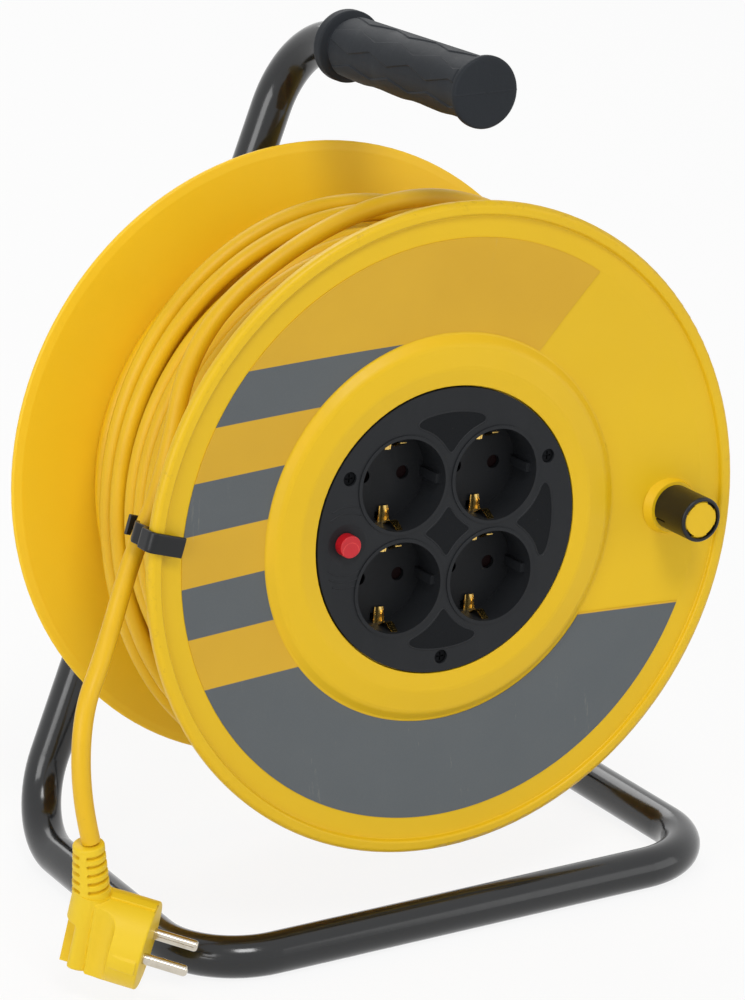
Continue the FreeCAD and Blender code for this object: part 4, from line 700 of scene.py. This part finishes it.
@dataclass
class Winding(Assembly):
    """Cord wound on the drum: one outer tube of 14 turns over closely laid lower layers."""

    radius: float = 4.0
    pitch: float = 8.6
    rear_radius: float = 104.5
    rear_first_y: float = 125.4
    rear_quarters: int = 11
    band_radius: float = 111.5
    band_first_y: float = 80.05
    band_quarters: int = 30
    per_turn: int = 32
    loose: tuple = (
        (3.0, 109.0, 99.8), (3.25, 122.5, 97.4), (3.5, 114.5, 95.3), (3.75, 136.0, 93.2),
        (4.0, 121.0, 91.0), (4.25, 119.5, 88.8), (4.5, 114.0, 86.6), (4.75, 131.0, 84.4),
        (5.0, 116.0, 82.2))
    last: tuple = (
        (13.0, 114.6, 13.7), (13.25, 118.8, 13.6), (13.5, 120.4, 17.0), (13.625, 120.4, 23.5),
        (13.75, 120.4, 32.8), (13.875, 120.4, 45.3), (14.0, 120.4, 58.0))
    core_front_y: float = 9.5
    core_step: tuple = (90.0, 98.0)
    core_back_y: float = 129.6
    core_inner: float = 81.0
    core_sink: float = 8.35
    core_grid: tuple = (168, 96)
    core_lip: float = 3.2
    core_dip: float = 1.2
    core_run_in: tuple = (-4.5, 1.5)
    lead: tuple = (
        (0.0, 75.0, -79.9), (0.0, 75.0, -62.0), (0.3, 74.0, -50.0), (3.2, 64.0, -32.0),
        (6.0, 56.0, -16.5))

    def nodes(self) -> np.ndarray:
        """Turn count, radius and y of the tube at every quarter turn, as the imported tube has."""
        rear = np.arange(self.rear_quarters + 1) / 4
        band = 5.25 + np.arange(self.band_quarters + 1) / 4
        return np.vstack([
            np.column_stack([rear, np.full(rear.size, self.rear_radius),
                             self.rear_first_y - self.pitch * rear]),
            np.array(self.loose),
            np.column_stack([band, np.full(band.size, self.band_radius),
                             self.band_first_y - self.pitch * (band - band[0])]),
            np.array(self.last)])

    def path(self) -> np.ndarray:
        """Control points, eased from node to node by cubics whose slopes overshoot no node.

        They lie a little outside the radius, since the spline's middle between three of them,
        (first + 6 second + third) / 8, has to lie on it.
        """
        nodes = self.nodes()
        turn, value = nodes[:, 0], nodes[:, 1:]
        span = np.diff(turn)[:, None]
        at = np.arange(0, 14 * self.per_turn + 1) / self.per_turn
        left = np.clip(np.searchsorted(turn, at, side="right") - 1, 0, len(span) - 1)
        t = (at - turn[left])[:, None] / span[left]
        slope = np.diff(value, axis=0) / span
        product, total = slope[:-1] * slope[1:], slope[:-1] + slope[1:]
        inner = np.where(product > 0, 2 * product / np.where(total == 0, 1, total), 0.0)
        way = np.vstack([(0.0, -self.pitch), inner, (0.0, slope[-1, 1])])
        first, last = way[left] * span[left], way[left + 1] * span[left]
        radius, y = (
            (2 * t ** 3 - 3 * t ** 2 + 1) * value[left] + (t ** 3 - 2 * t ** 2 + t) * first
            + (3 * t ** 2 - 2 * t ** 3) * value[left + 1] + (t ** 3 - t ** 2) * last).T
        reach = radius / (0.75 + 0.25 * math.cos(TURN / self.per_turn))
        reach[-1] = radius[-1]
        return around(reach, TURN * at, y)

    def lower_layers(self) -> Object:
        """Closed ring whose outside is a helix of round ridges, one pitch apart.

        The ridge height at an angle a and place y is the circle's arch over the way to the
        nearest turn of the helix; the base radius steps down behind the band.
        """
        rows, columns = self.core_grid
        y = np.linspace(self.core_front_y, self.core_back_y, rows)[:, None]
        angle = np.linspace(0, TURN, columns, endpoint=False)[None, :]
        step = smooth_step(y, *self.core_step)
        base = self.band_radius - self.core_sink - step * (self.band_radius - self.rear_radius)
        phase = (y - self.band_first_y) / self.pitch + angle / TURN + 0.5
        off = (phase - np.round(phase)) * self.pitch
        arch = self.radius * quarter(np.abs(off), self.radius)
        web = smooth_step(y - self.core_front_y, *self.core_run_in)
        outer = around(base + arch * web - self.core_dip * (1 - web), angle, y)
        front, back = (around(self.core_inner, angle, inner_y)
                       for inner_y in (self.core_front_y + self.core_lip, self.core_back_y))
        grid = np.concatenate([front, outer, back])
        return surface("lower_turns", placed(grid), Edge.JOINED, Edge.JOINED, 70)

    def make(self) -> None:
        """Outer turns, lower turns and the lead inside the barrel."""
        for piece, node in (
                (cord_curve("outer_turns", placed(self.path()), self.radius * MM, 5),
                 "cord_outer_turns"),
                (self.lower_layers(), "cord_core"),
                (cord_curve("inner_lead_skin", placed(self.lead), self.radius * MM, 16),
                 "inner_lead")):
            self.settle(piece, "drum", "yellow_cord", self.finishes.jacket, node)


@dataclass
class Drum(Assembly):
    """Flanges, barrel, label, clip and the knob."""

    label_inner: float = 85.6
    label_outer: float = 127.0
    label_lift: float = 0.3
    label_start: float = 57.2
    label_bottom_z: float = -49.2
    label_edge: float = 0.1
    label_bed: float = 0.02
    label_slant: float = -0.035
    label_grid: tuple = (14, 220)
    web: tuple = ((85.0, 9.3), (127.4, 2.7))
    clip_angle: float = 173.0
    clip_way: float = 162.5
    clip_middle: float = 136.0
    clip_width: float = 8.5
    clip_wall: float = 2.2
    clip_spring: tuple = (
        (128.8, -1.1), (143.7, -1.1, 2.2), (144.2, 6.5, 1.6), (141.5, 9.0, 1.4), (143.0, 14.5, 2.5),
        (141.0, 18.5))
    clip_jaw: tuple = ((141.9, 9.0), (126.6, 9.0, 1.6), (126.6, 28.3, 3.0), (139.5, 28.3))

    def web_y(self, radius: np.ndarray) -> np.ndarray:
        """Front of the flange's web, a straight slope between two radii."""
        (r1, y1), (r2, y2) = self.web
        return y1 + (radius - r1) / (r2 - r1) * (y2 - y1)

    def label(self) -> Object:
        """Thin shell over the web from its slanted top end round to the flat right end.

        At each radius the sheet runs from the start angle to the angle where the circle of
        that radius meets the level line of the right end.
        """
        rows, columns = self.label_grid
        inner, outer = self.label_inner, self.label_outer
        radius = np.array([
            inner, *np.linspace(inner + self.label_edge, outer - self.label_edge, rows),
            outer])[:, None]
        first = np.radians(self.label_start + (radius - inner) * self.label_slant)
        last = np.arcsin(self.label_bottom_z / radius) + TURN
        angle = first + (last - first) * np.linspace(0, 1, columns)[None, :]
        top, under = (around(radius, angle, self.web_y(radius) - lift)
                      for lift in (self.label_lift, self.label_bed))
        grid = np.concatenate([top, under[::-1]])
        return surface("label_sheet", placed(grid), Edge.JOINED, crease=50)

    def on_rim(self, grid: np.ndarray) -> np.ndarray:
        """Radius, y and way along the rim at the clip, as points about the axle.

        The clip sits askew: past its middle it runs out at its own angle, not radially.
        """
        seat = self.clip_middle * circle(math.radians(self.clip_angle))
        local = grid[..., [0, 2]] - (self.clip_middle, 0.0)
        return upright(seat + turned(local, math.radians(self.clip_way)), grid[..., 1])

    def clip(self) -> Object:
        """Bent strip over the rim, and the jaw below it that goes round the cord."""
        strips = []
        for name, corners in (("clip_spring", self.clip_spring), ("clip_jaw", self.clip_jaw)):
            path = even(rounded(corners, 9), 0.5)
            width = np.full(len(path), self.clip_width)
            strips.append(ribbon(name, path, width, self.clip_wall, self.on_rim))
        return joined("clip_skin", strips)

    def make(self) -> None:
        """Dress the drum's nodes and replace the plain label and clip."""
        f = self.finishes
        self.keep(f.drum, "front_flange", "drum_barrel")
        # The rear flange gets the drum's finish made lighter, as painted light.
        self.keep(f.rear, "rear_flange")
        self.keep(f.insulator, "hub_bush", "cord_gland")
        self.keep(f.steel, "flange_screws")
        self.keep(f.sleeve, "knob_sleeve")
        self.settle(self.clip(), "drum", "black_plastic", f.sleeve, "cord_clip")
        self.settle(self.label(), "drum", "label_print", f.label, "face_label")


@dataclass
class SocketPlate(Assembly):
    """Black plate with its wells, raised outlines, textured panels and button."""

    face_y: float = 5.3
    well: float = 22.5
    side_radius: float = 24.6
    outer_radius: float = 52.4
    bead_width: float = 0.9
    bead_height: float = 0.28
    point_ease: float = 3.0
    panel_top: float = 79.0
    cap_ease: float = 2.0
    ridges: tuple = (
        (13.6, 62, 128), (16.4, 66, 118), (13.6, -128, -62), (16.4, -118, -66), (19.0, -108, -76))
    ridge_width: float = 0.7
    ridge_height: float = 0.24
    ridge_gap: float = 0.05
    pad_lift: float = 0.04
    button: tuple = (-48.7, -0.4)
    spring: tuple = (
        (13.2, 21.2), (21.6, 20.9, 0.6), (19.2, 16.2, 4.0), (16.9, 12.7, 3.0), (20.0, 7.2))
    spring_ways: tuple = (0.0, 8.2, 10.8, 18.0, 26.0)
    spring_widths: tuple = (4.3, 6.0, 3.8, 3.5, 2.8)
    spring_wall: float = 0.6
    spring_droop: float = 1.9
    flute_depth: float = 0.34
    flute_end: tuple = (6.6, 8.2)

    def reach(self) -> float:
        """Angle about a well at which a side's arc meets its neighbour's, eased off."""
        return math.acos(self.well / self.side_radius) + math.radians(self.point_ease)

    def star(self) -> np.ndarray:
        """Four hollow sides, each an arc about a well, meeting in rounded points."""
        sweep = math.pi / 4 - self.reach()
        sides = []
        for step in range(4):
            mid = math.radians(45 + 90 * step)
            angle = mid + math.pi + np.linspace(sweep, -sweep, 15)
            sides.append(circle(mid) * self.well * math.sqrt(2) + self.side_radius * circle(angle))
        return np.concatenate(sides)

    def panel(self, way: float) -> np.ndarray:
        """Outline between two wells and the outer arc, open towards the angle way."""
        side = np.linspace(self.reach(), math.radians(self.panel_top), 15)
        rise = np.array([-self.well, self.well]) + self.side_radius * circle(side)
        spread = math.atan2(-rise[-1][0], rise[-1][1]) - math.radians(self.cap_ease)
        cap = self.outer_radius * circle(math.radians(90) + np.linspace(spread, -spread, 17))
        fall = rise[::-1] * (-1, 1)
        return turned(np.concatenate([rise, cap, fall]), math.radians(way - 90))

    @staticmethod
    def softened(path: np.ndarray, passes: int = 3) -> np.ndarray:
        """Closed path with its corners eased by averaging each point with its neighbours."""
        for _ in range(passes):
            path = path * 0.5 + (np.roll(path, 1, 0) + np.roll(path, -1, 0)) * 0.25
        return path

    def pad(self, name: str, path: np.ndarray) -> Object:
        """Textured floor of a panel: the outline shrunk towards its middle in rings."""
        middle = path.mean(0)
        share = np.linspace(1.0, 0.02, 6)[:, None, None]
        flat = middle + (path[None] - middle) * share
        grid = upright(flat, self.face_y - self.pad_lift)
        return surface(name, placed(grid), Edge.OPEN, Edge.JOINED, solid=False)

    def arcs(self) -> list:
        """Low curved ridges above and below the button."""
        made = []
        for number, (radius, first, last) in enumerate(self.ridges):
            way = circle(np.radians(np.linspace(first, last, 25)))
            line = np.concatenate([way * radius, way[::-1] * (radius + self.ridge_gap)])
            made.append(beads(f"button_arc_{number}", tilted(line + self.button),
                              self.ridge_width, self.ridge_height, self.face_y))
        return made

    def springs(self) -> Object:
        """Eight earth contacts: a ribbed tab on the well's floor, folded back into a tongue."""
        made = []
        path = even(rounded(self.spring, 7), 0.4)
        along = np.linspace(0, 1, len(path)) * np.linalg.norm(np.diff(path, axis=0), axis=1).sum()
        width = np.interp(along, self.spring_ways, self.spring_widths)
        flute = self.flute_depth * (1 - smooth_step(along, *self.flute_end))
        for x, z in ((-1, 1), (1, 1), (-1, -1), (1, -1)):
            for side in (-1, 1):
                centre = np.array([x, z]) * self.well
                middle = path - np.array([self.spring_droop, 0.0]) * (side > 0)

                def place(grid: np.ndarray) -> np.ndarray:
                    """Way from the well's middle, y and way aside, as points about the axle."""
                    return upright(tilted(centre + grid[..., [2, 0]] * (1, side)), grid[..., 1])

                made.append(ribbon(f"contact_{x}_{z}_{side}", middle, width, self.spring_wall,
                                   place, flute))
        return joined("contact_springs", made)

    def make(self) -> None:
        """Relief on the plate, and finishes of what is in and behind it."""
        f = self.finishes
        self.keep(f.plate, "socket_plate", "socket_well_1", "socket_well_2", "socket_well_3",
                  "socket_well_4")
        self.keep(f.button, "reset_button")
        self.keep(f.shutter, "shutter_1", "shutter_2", "shutter_3", "shutter_4")
        self.keep(f.insulator, "contact_carrier", "breaker_body")
        self.keep(f.brass, "live_bar", "neutral_bar", "earth_bar")
        self.keep(f.steel, "terminal_screws")
        self.keep(f.black_steel, "socket_screws")
        self.settle(self.springs(), "drum", "brass", f.brass, "earth_clips")
        outlines, pads = [], []
        shapes = [("star", self.star())] + [
            (f"panel_{way}", self.panel(way)) for way in (90, 0, -90)]
        for name, path in shapes:
            path = tilted(self.softened(path))
            outlines.append(
                beads(f"{name}_line", path, self.bead_width, self.bead_height, self.face_y))
            pads.append(self.pad(f"{name}_floor", path))
        relief = joined("plate_outlines", outlines + self.arcs())
        self.settle(relief, "drum", "black_plastic", f.plate)
        # The pads' darker finish is partly their texture and partly painted shade of a recess.
        self.settle(joined("plate_panels", pads), "drum", "black_plastic", f.panel)


@dataclass
class Stand(Assembly):
    """Bent tube, axle parts and the embossed grip."""

    grip_x: float = 11.8
    grip_z: float = 187.2
    rows: int = 10
    first_line: float = 129.5
    first_kink: float = 10.0
    half_wave: float = 16.2
    sway: float = 7.8
    step_width: float = 0.16
    relief: float = 0.55
    body_radius: float = 13.1
    body_start: tuple = (5.4, 6.4)
    body_end: tuple = (107.5, 109.0)
    row_length: float = 0.8
    seam_half: float = 0.3
    seam_depth: float = 0.2
    seam_inner: float = 0.5
    cap_end: float = 3.1
    body_least: float = 12.5
    profile: tuple = (
        (0.001, 0.2), (15.2, 0.2, 1.4), (15.2, 3.0, 0.8), (13.1, 5.0, 1.0), (13.1, 109.0, 1.0),
        (12.1, 110.0, 0.5), (12.1, 111.0, 0.3), (15.8, 112.0, 1.0), (15.8, 118.0, 1.5),
        (9.05, 118.0), (9.05, 3.2), (0.001, 3.2))

    def emboss(self, angle: np.ndarray, y: np.ndarray) -> np.ndarray:
        """Share of the relief at an angle and a place along the grip.

        Ten zigzag lines run along the grip, 36 degrees apart. Neighbours sway opposite ways
        as triangle waves, and the strip that follows each even line stands higher.
        """
        pitch = TURN / self.rows
        wave = np.abs(((y - self.first_kink) / self.half_wave) % 2 - 1) * 2 - 1
        place = (angle - math.radians(self.first_line)) / pitch
        line = np.round(place)
        way = np.where(line % 2 == 0, 1.0, -1.0)
        soft = self.step_width / self.body_radius / pitch
        passed = past(place - line, way * wave * math.radians(self.sway) / pitch, soft)
        return np.where(way > 0, passed, 1 - passed)

    def grip(self) -> Object:
        """Turned grip with its zigzag relief and the mould seam across its cap."""
        line = rounded(self.profile, 6)
        pieces = [line[:1]]
        for number, (start, stop) in enumerate(zip(line[:-1], line[1:])):
            reach = float(np.linalg.norm(stop - start))
            count = max(1, int(reach / self.row_length)) if number < len(line) - 4 else 1
            share = np.linspace(0, 1, count + 1)[1:, None]
            pieces.append(start + (stop - start) * share)
        line = np.concatenate(pieces)
        angle = np.linspace(0, TURN, 480, endpoint=False)[None, :]
        radius, y = line[:, 0][:, None], line[:, 1][:, None]
        body = smooth_step(y, *self.body_start) * (1 - smooth_step(y, *self.body_end))
        body = body * (radius > self.body_least)
        grown = radius + self.relief * self.emboss(angle, y) * body
        seam = np.exp(-((np.sin(angle) * radius) / self.seam_half) ** 2)
        seam = seam * (y < self.cap_end) * (radius > self.seam_inner)
        grid = around(grown, angle, y - self.seam_depth * seam)
        grid = grid + np.array([self.grip_x, 0.0, self.grip_z])
        return surface("grip_skin", placed(grid), Edge.JOINED, Edge.JOINED, 35)

    def make(self) -> None:
        """Dress the tube and the axle parts and replace the plain grip."""
        f = self.finishes
        self.keep(f.enamel, "frame_tube", "hub_plate")
        self.keep(f.steel, "axle", "axle_bolt", "axle_washer", "retaining_ring", "thrust_washer")
        self.settle(self.grip(), "frame", "black_grip", f.grip, "handle_grip")


@dataclass
class Plug(Assembly):
    """Angled plug: round head with hollowed sides, a column to the cord and a pull fin.

    Its own axes are x ahead along the pins from the face, s aside and e up along the column.
    """

    face: tuple = (-150.8, -12.9, -150.7)
    ahead: tuple = (0.757, -0.609, -0.237)
    up: tuple = (0.094, -0.257, 0.962)
    radius: float = 18.75
    rim: float = 1.0
    back: tuple = (-25.0, -0.055)
    heel: float = 2.2
    hollow_x: float = -20.5
    hollow_s: float = 16.1
    hollow_radius: float = 7.3
    column_x: float = -27.5
    column_radius: float = 8.3
    foot_back: float = -30.7
    foot_corner: float = 2.6
    foot_round: float = 3.0
    fin_back: float = -34.8
    fin_front: float = -30.5
    fin_half: float = 1.15
    fin_into: float = 4.0
    fin_top: tuple = (2.0, 4.6)
    rib: tuple = (-14.0, -1.2, -3.0, 3.4, 1.0)
    rib_grown: float = -5.0
    rib_edge: float = 0.3
    relief_foot: tuple = (-28.1, 17.1)
    relief_top: tuple = (-33.7, 39.7)
    relief_radii: tuple = (7.95, 6.5)
    relief_edge: float = 0.9
    relief_start: float = -2.0
    slots: int = 5
    slot_first: float = 3.8
    slot_pitch: float = 3.9
    slot_half: float = 0.8
    slot_depth: float = 1.7
    slot_edge: float = 0.1
    band_half: float = 14.5
    band_turn: float = -8.0

    def place(self, local: np.ndarray) -> np.ndarray:
        """Points of x, s and e as points about the axle."""
        x = unit(np.array(self.ahead))
        e = unit(np.array(self.up) - np.dot(self.up, x) * x)
        return np.array(self.face) + local @ np.stack([x, np.cross(e, x), e])

    def reach(self, x: np.ndarray) -> np.ndarray:
        """Radius of the head at each x, rounded off at its face."""
        return self.radius - self.rim + self.rim * quarter(x + self.rim, self.rim)

    def half_width(self, x: np.ndarray, e: np.ndarray) -> np.ndarray:
        """Way from the plug's middle plane to its side at each x and e.

        The head is a circle's chord, cut by an upright round hollow behind its middle and
        eased to nothing at its slanted back. The column behind it is round above the fin
        and has a tight corner beside it.
        """
        head = np.sqrt(np.clip(self.reach(x) ** 2 - e ** 2, 0, None))
        into = quarter(x - self.hollow_x, self.hollow_radius)
        hollow = self.hollow_s - self.hollow_radius * into
        hollow = np.where(x > self.hollow_x + self.hollow_radius + 0.01, self.radius, hollow)
        behind = self.back[0] + self.back[1] * e + self.heel - x
        head = np.minimum(head, hollow) * quarter(behind, self.heel)
        low = 1 - smooth_step(e, *self.fin_top)
        upper = self.column_radius * quarter(np.abs(x - self.column_x), self.column_radius)
        corner = quarter(self.foot_back + self.foot_corner - x, self.foot_corner)
        lower = self.column_radius - self.foot_corner * (1 - corner)
        lower = np.where(x >= self.foot_back, lower, 0.0)
        rear = upper * (1 - low) + lower * low
        under = quarter(self.foot_round - self.radius - e, self.foot_round)
        column = np.where(x < self.column_x, rear, upper) * under
        fin = self.fin_half * (low > 0.02)
        fin = fin * (x >= self.fin_back) * (x <= self.fin_front + self.fin_into)
        first, last, bottom, top, height = self.rib
        rib = height * smooth_step(x, first, self.rib_grown) * (1 - past(x, last, self.rib_edge))
        rib = rib * past(e, bottom, self.rib_edge) * (1 - past(e, top, self.rib_edge))
        return np.maximum(np.maximum(head, column), fin) + rib

    def body(self) -> Object:
        """Both sides of the plug, level by level from its bottom to its top.

        Stations along x follow the face, the head, the hollow, the column, the foot and the fin.
        """
        turn = np.linspace(0, math.pi / 2, 15)
        x = np.concatenate([
            -self.rim * (1 - np.cos(np.linspace(0, math.pi / 2, 7))), np.linspace(-1.2, -2.1, 4),
            np.linspace(-3, self.hollow_x + self.hollow_radius + 0.02, 14),
            self.hollow_x + self.hollow_radius * np.cos(turn), np.linspace(-20.9, -27, 16),
            self.column_x - self.column_radius * np.sin(turn),
            self.foot_back + self.foot_corner * (1 - np.cos(turn)),
            [self.foot_back - 0.02, self.fin_back + 0.3, self.fin_back]])
        x = np.unique(np.round(x, 3))[::-1][None, :]
        e = self.radius * np.sin(np.linspace(-math.pi / 2, math.pi / 2, 130))[:, None]
        reach = self.reach(x)
        low = 1 - smooth_step(e, *self.fin_top)
        x = np.maximum(x, (self.column_x - self.column_radius) * (1 - low) + self.fin_back * low)
        e = np.clip(e, -reach, reach)
        side = self.half_width(x, e)
        near = np.stack([x, -side, e], -1)
        far = np.stack([x, side, e], -1)[:, ::-1]
        grid = self.place(np.concatenate([near, far], 1))
        return surface("plug_shell", placed(grid), Edge.CAPPED, Edge.JOINED, 38)

    def rail(self) -> Object:
        """Low rail along the top of the head."""
        path = even(np.array([(-19.5, 18.7), (-0.6, 18.9)]), 1.0)
        return ribbon("plug_rail", path, np.full(len(path), 4.4), 1.5,
                      lambda grid: self.place(grid[..., [0, 2, 1]]))

    def relief(self) -> Object:
        """Strain relief: a leaning cone with rounded slots across its front and rear.

        A slot is what lies within its half width of a line along the angle, up to the plain
        band that is left on both sides.
        """
        foot, top = (np.array([p[0], 0.0, p[1]]) for p in (self.relief_foot, self.relief_top))
        length = np.linalg.norm(top - foot)
        way = (top - foot) / length
        near, ahead = np.array([0.0, -1.0, 0.0]), np.array([way[2], 0.0, -way[0]])
        along = np.linspace(self.relief_start, length, 124)[:, None]
        angle = np.linspace(0, TURN, 144, endpoint=False)[None, :]
        radius = np.interp(along, (0, length), self.relief_radii)
        off = np.abs((angle - math.radians(self.band_turn) + math.pi / 2) % math.pi - math.pi / 2)
        inside = (off - math.radians(self.band_half)) * radius
        number = np.clip(np.round((along - self.slot_first) / self.slot_pitch), 0, self.slots - 1)
        across = along - self.slot_first - number * self.slot_pitch
        away = np.hypot(np.clip(self.slot_half - inside, 0, None), across)
        cut = 1 - past(away, self.slot_half, self.slot_edge)
        top_edge = 1 - quarter(along - length + self.relief_edge, self.relief_edge)
        shape = radius - self.slot_depth * cut - self.relief_edge * top_edge
        round_way = (np.cos(angle) * shape)[..., None] * near
        round_way = round_way + (np.sin(angle) * shape)[..., None] * ahead
        grid = self.place(foot + along[..., None] * way + round_way)
        return surface("plug_relief", placed(grid), Edge.CAPPED, Edge.JOINED, 38)

    def make(self) -> list:
        """Form the plug's soft pieces, dress its metal and hand them all over."""
        f = self.finishes
        shell = joined("plug_skin", [self.body(), self.rail()])
        self.settle(shell, "frame", "yellow_plug", f.plug, "plug_body")
        relief = self.settle(self.relief(), "frame", "yellow_plug", f.plug, "plug_strain_relief")
        self.keep(f.nickel, "plug_pins", "plug_earth_contacts")
        return [shell, relief] + [frame["nodes"][n] for n in ("plug_pins", "plug_earth_contacts")]


# Studio

@dataclass(frozen=True)
class Camera:
    """The photograph's viewpoint, about the axle."""

    place: tuple = (-763.0, -1253.3, 483.5)
    azimuth: float = 29.96
    elevation: float = 17.73
    roll: float = 0.62
    lens: float = 132.225
    shift: tuple = (0.00193, 0.00077)

    def make(self) -> None:
        """Camera whose axes come from azimuth, elevation and roll."""
        a, e, r = (math.radians(v) for v in (self.azimuth, self.elevation, self.roll))
        ahead = np.array([math.sin(a) * math.cos(e), math.cos(a) * math.cos(e), -math.sin(e)])
        right = np.array([math.cos(a), -math.sin(a), 0.0])
        up = np.cross(right, ahead)
        across = right * math.cos(r) + up * math.sin(r)
        above = up * math.cos(r) - right * math.sin(r)
        data = bpy.data.cameras.new("view")
        data.lens, data.sensor_width = self.lens, 36.0
        data.shift_x, data.shift_y = self.shift
        bpy.context.scene.camera = aimed(
            "view", data, (across, above, -ahead), placed(np.array(self.place)))


@dataclass(frozen=True)
class Studio:
    """Pale floor, white surround and soft lamps."""

    floor_size: float = 6.0
    floor_gap: float = 0.0002
    floor_glow: float = 0.88
    sky_light: float = 0.4
    aim: tuple = (0.0, 0.0, 0.15)
    lamps: tuple = (
        ("key", (-0.5, -2.0, 2.9), 1.0, 38.0), ("left", (-2.7, -1.3, 1.1), 1.5, 31.0),
        ("fill", (2.2, -2.2, 0.7), 2.0, 13.0), ("back", (0.6, 2.4, 2.4), 1.8, 26.0))

    def floor(self) -> None:
        """Level sheet, a breath under the object, sampled as a grid."""
        line = np.linspace(-self.floor_size, self.floor_size, 9)
        x, y = np.meshgrid(line, line, indexing="ij")
        level = np.full_like(x, -self.floor_gap)
        sheet = surface("studio_floor", np.stack([x, y, level], -1), solid=False)
        s = Shader("studio_white")
        seen = s.rays("Camera", "Glossy")
        glow = s.node("ShaderNodeEmission", {}, {"Color": WHITE, "Strength": 1.0})
        colour = s.mix(s.noise(3, 2) * 0.1, (0.93, 0.93, 0.93, 1), (0.9, 0.9, 0.9, 1))
        paint = s.node("ShaderNodeBsdfDiffuse", {}, {"Color": colour})
        both = s.node("ShaderNodeMixShader", {}, {
            0: seen * self.floor_glow, 1: paint.outputs[0], 2: glow.outputs[0]})
        s.feed(s.output.inputs["Surface"], both.outputs[0])
        sheet.data.materials.append(s.material)

    def sky(self) -> None:
        """White to the eye and in reflections, dimmer as light."""
        world = bpy.data.worlds.new("surround")
        bpy.context.scene.world = world
        s = Nodes(world)
        dim, white = (
            s.node("ShaderNodeBackground", {}, {"Color": WHITE, "Strength": strength}).outputs[0]
            for strength in (self.sky_light, 1.0))
        seen = s.rays("Camera", "Transmission", "Glossy")
        both = s.node("ShaderNodeMixShader", {}, {0: seen, 1: dim, 2: white})
        s.node("ShaderNodeOutputWorld", {}, {"Surface": both.outputs[0]})

    def lights(self) -> None:
        """Square area lamps, each turned towards the reel."""
        for name, place, size, power in self.lamps:
            data = bpy.data.lights.new(name, "AREA")
            data.shape, data.size, data.energy = "SQUARE", size, power
            away = unit(np.array(place) - np.array(self.aim))
            right = unit(np.cross([0, 0, 1], away))
            aimed(name, data, (right, np.cross(away, right), away), np.array(place))

    def make(self) -> None:
        """Floor, surround, lamps and the view transform."""
        self.floor()
        self.sky()
        self.lights()
        bpy.context.scene.view_settings.view_transform = "Standard"


def main() -> None:
    """Build the camera and cords, then the rest of the reel."""
    logging.basicConfig(level=logging.INFO, format="%(message)s")
    Camera().make()
    finishes = Finishes()
    cord = FreeCord(finishes)
    line = cord.make()
    Winding(finishes).make()
    Stand(finishes).make()
    Drum(finishes).make()
    SocketPlate(finishes).make()
    cord.declare(line, Plug(finishes).make())
    Studio().make()
    bpy.context.view_layer.update()


if __name__ == "__main__":
    main()
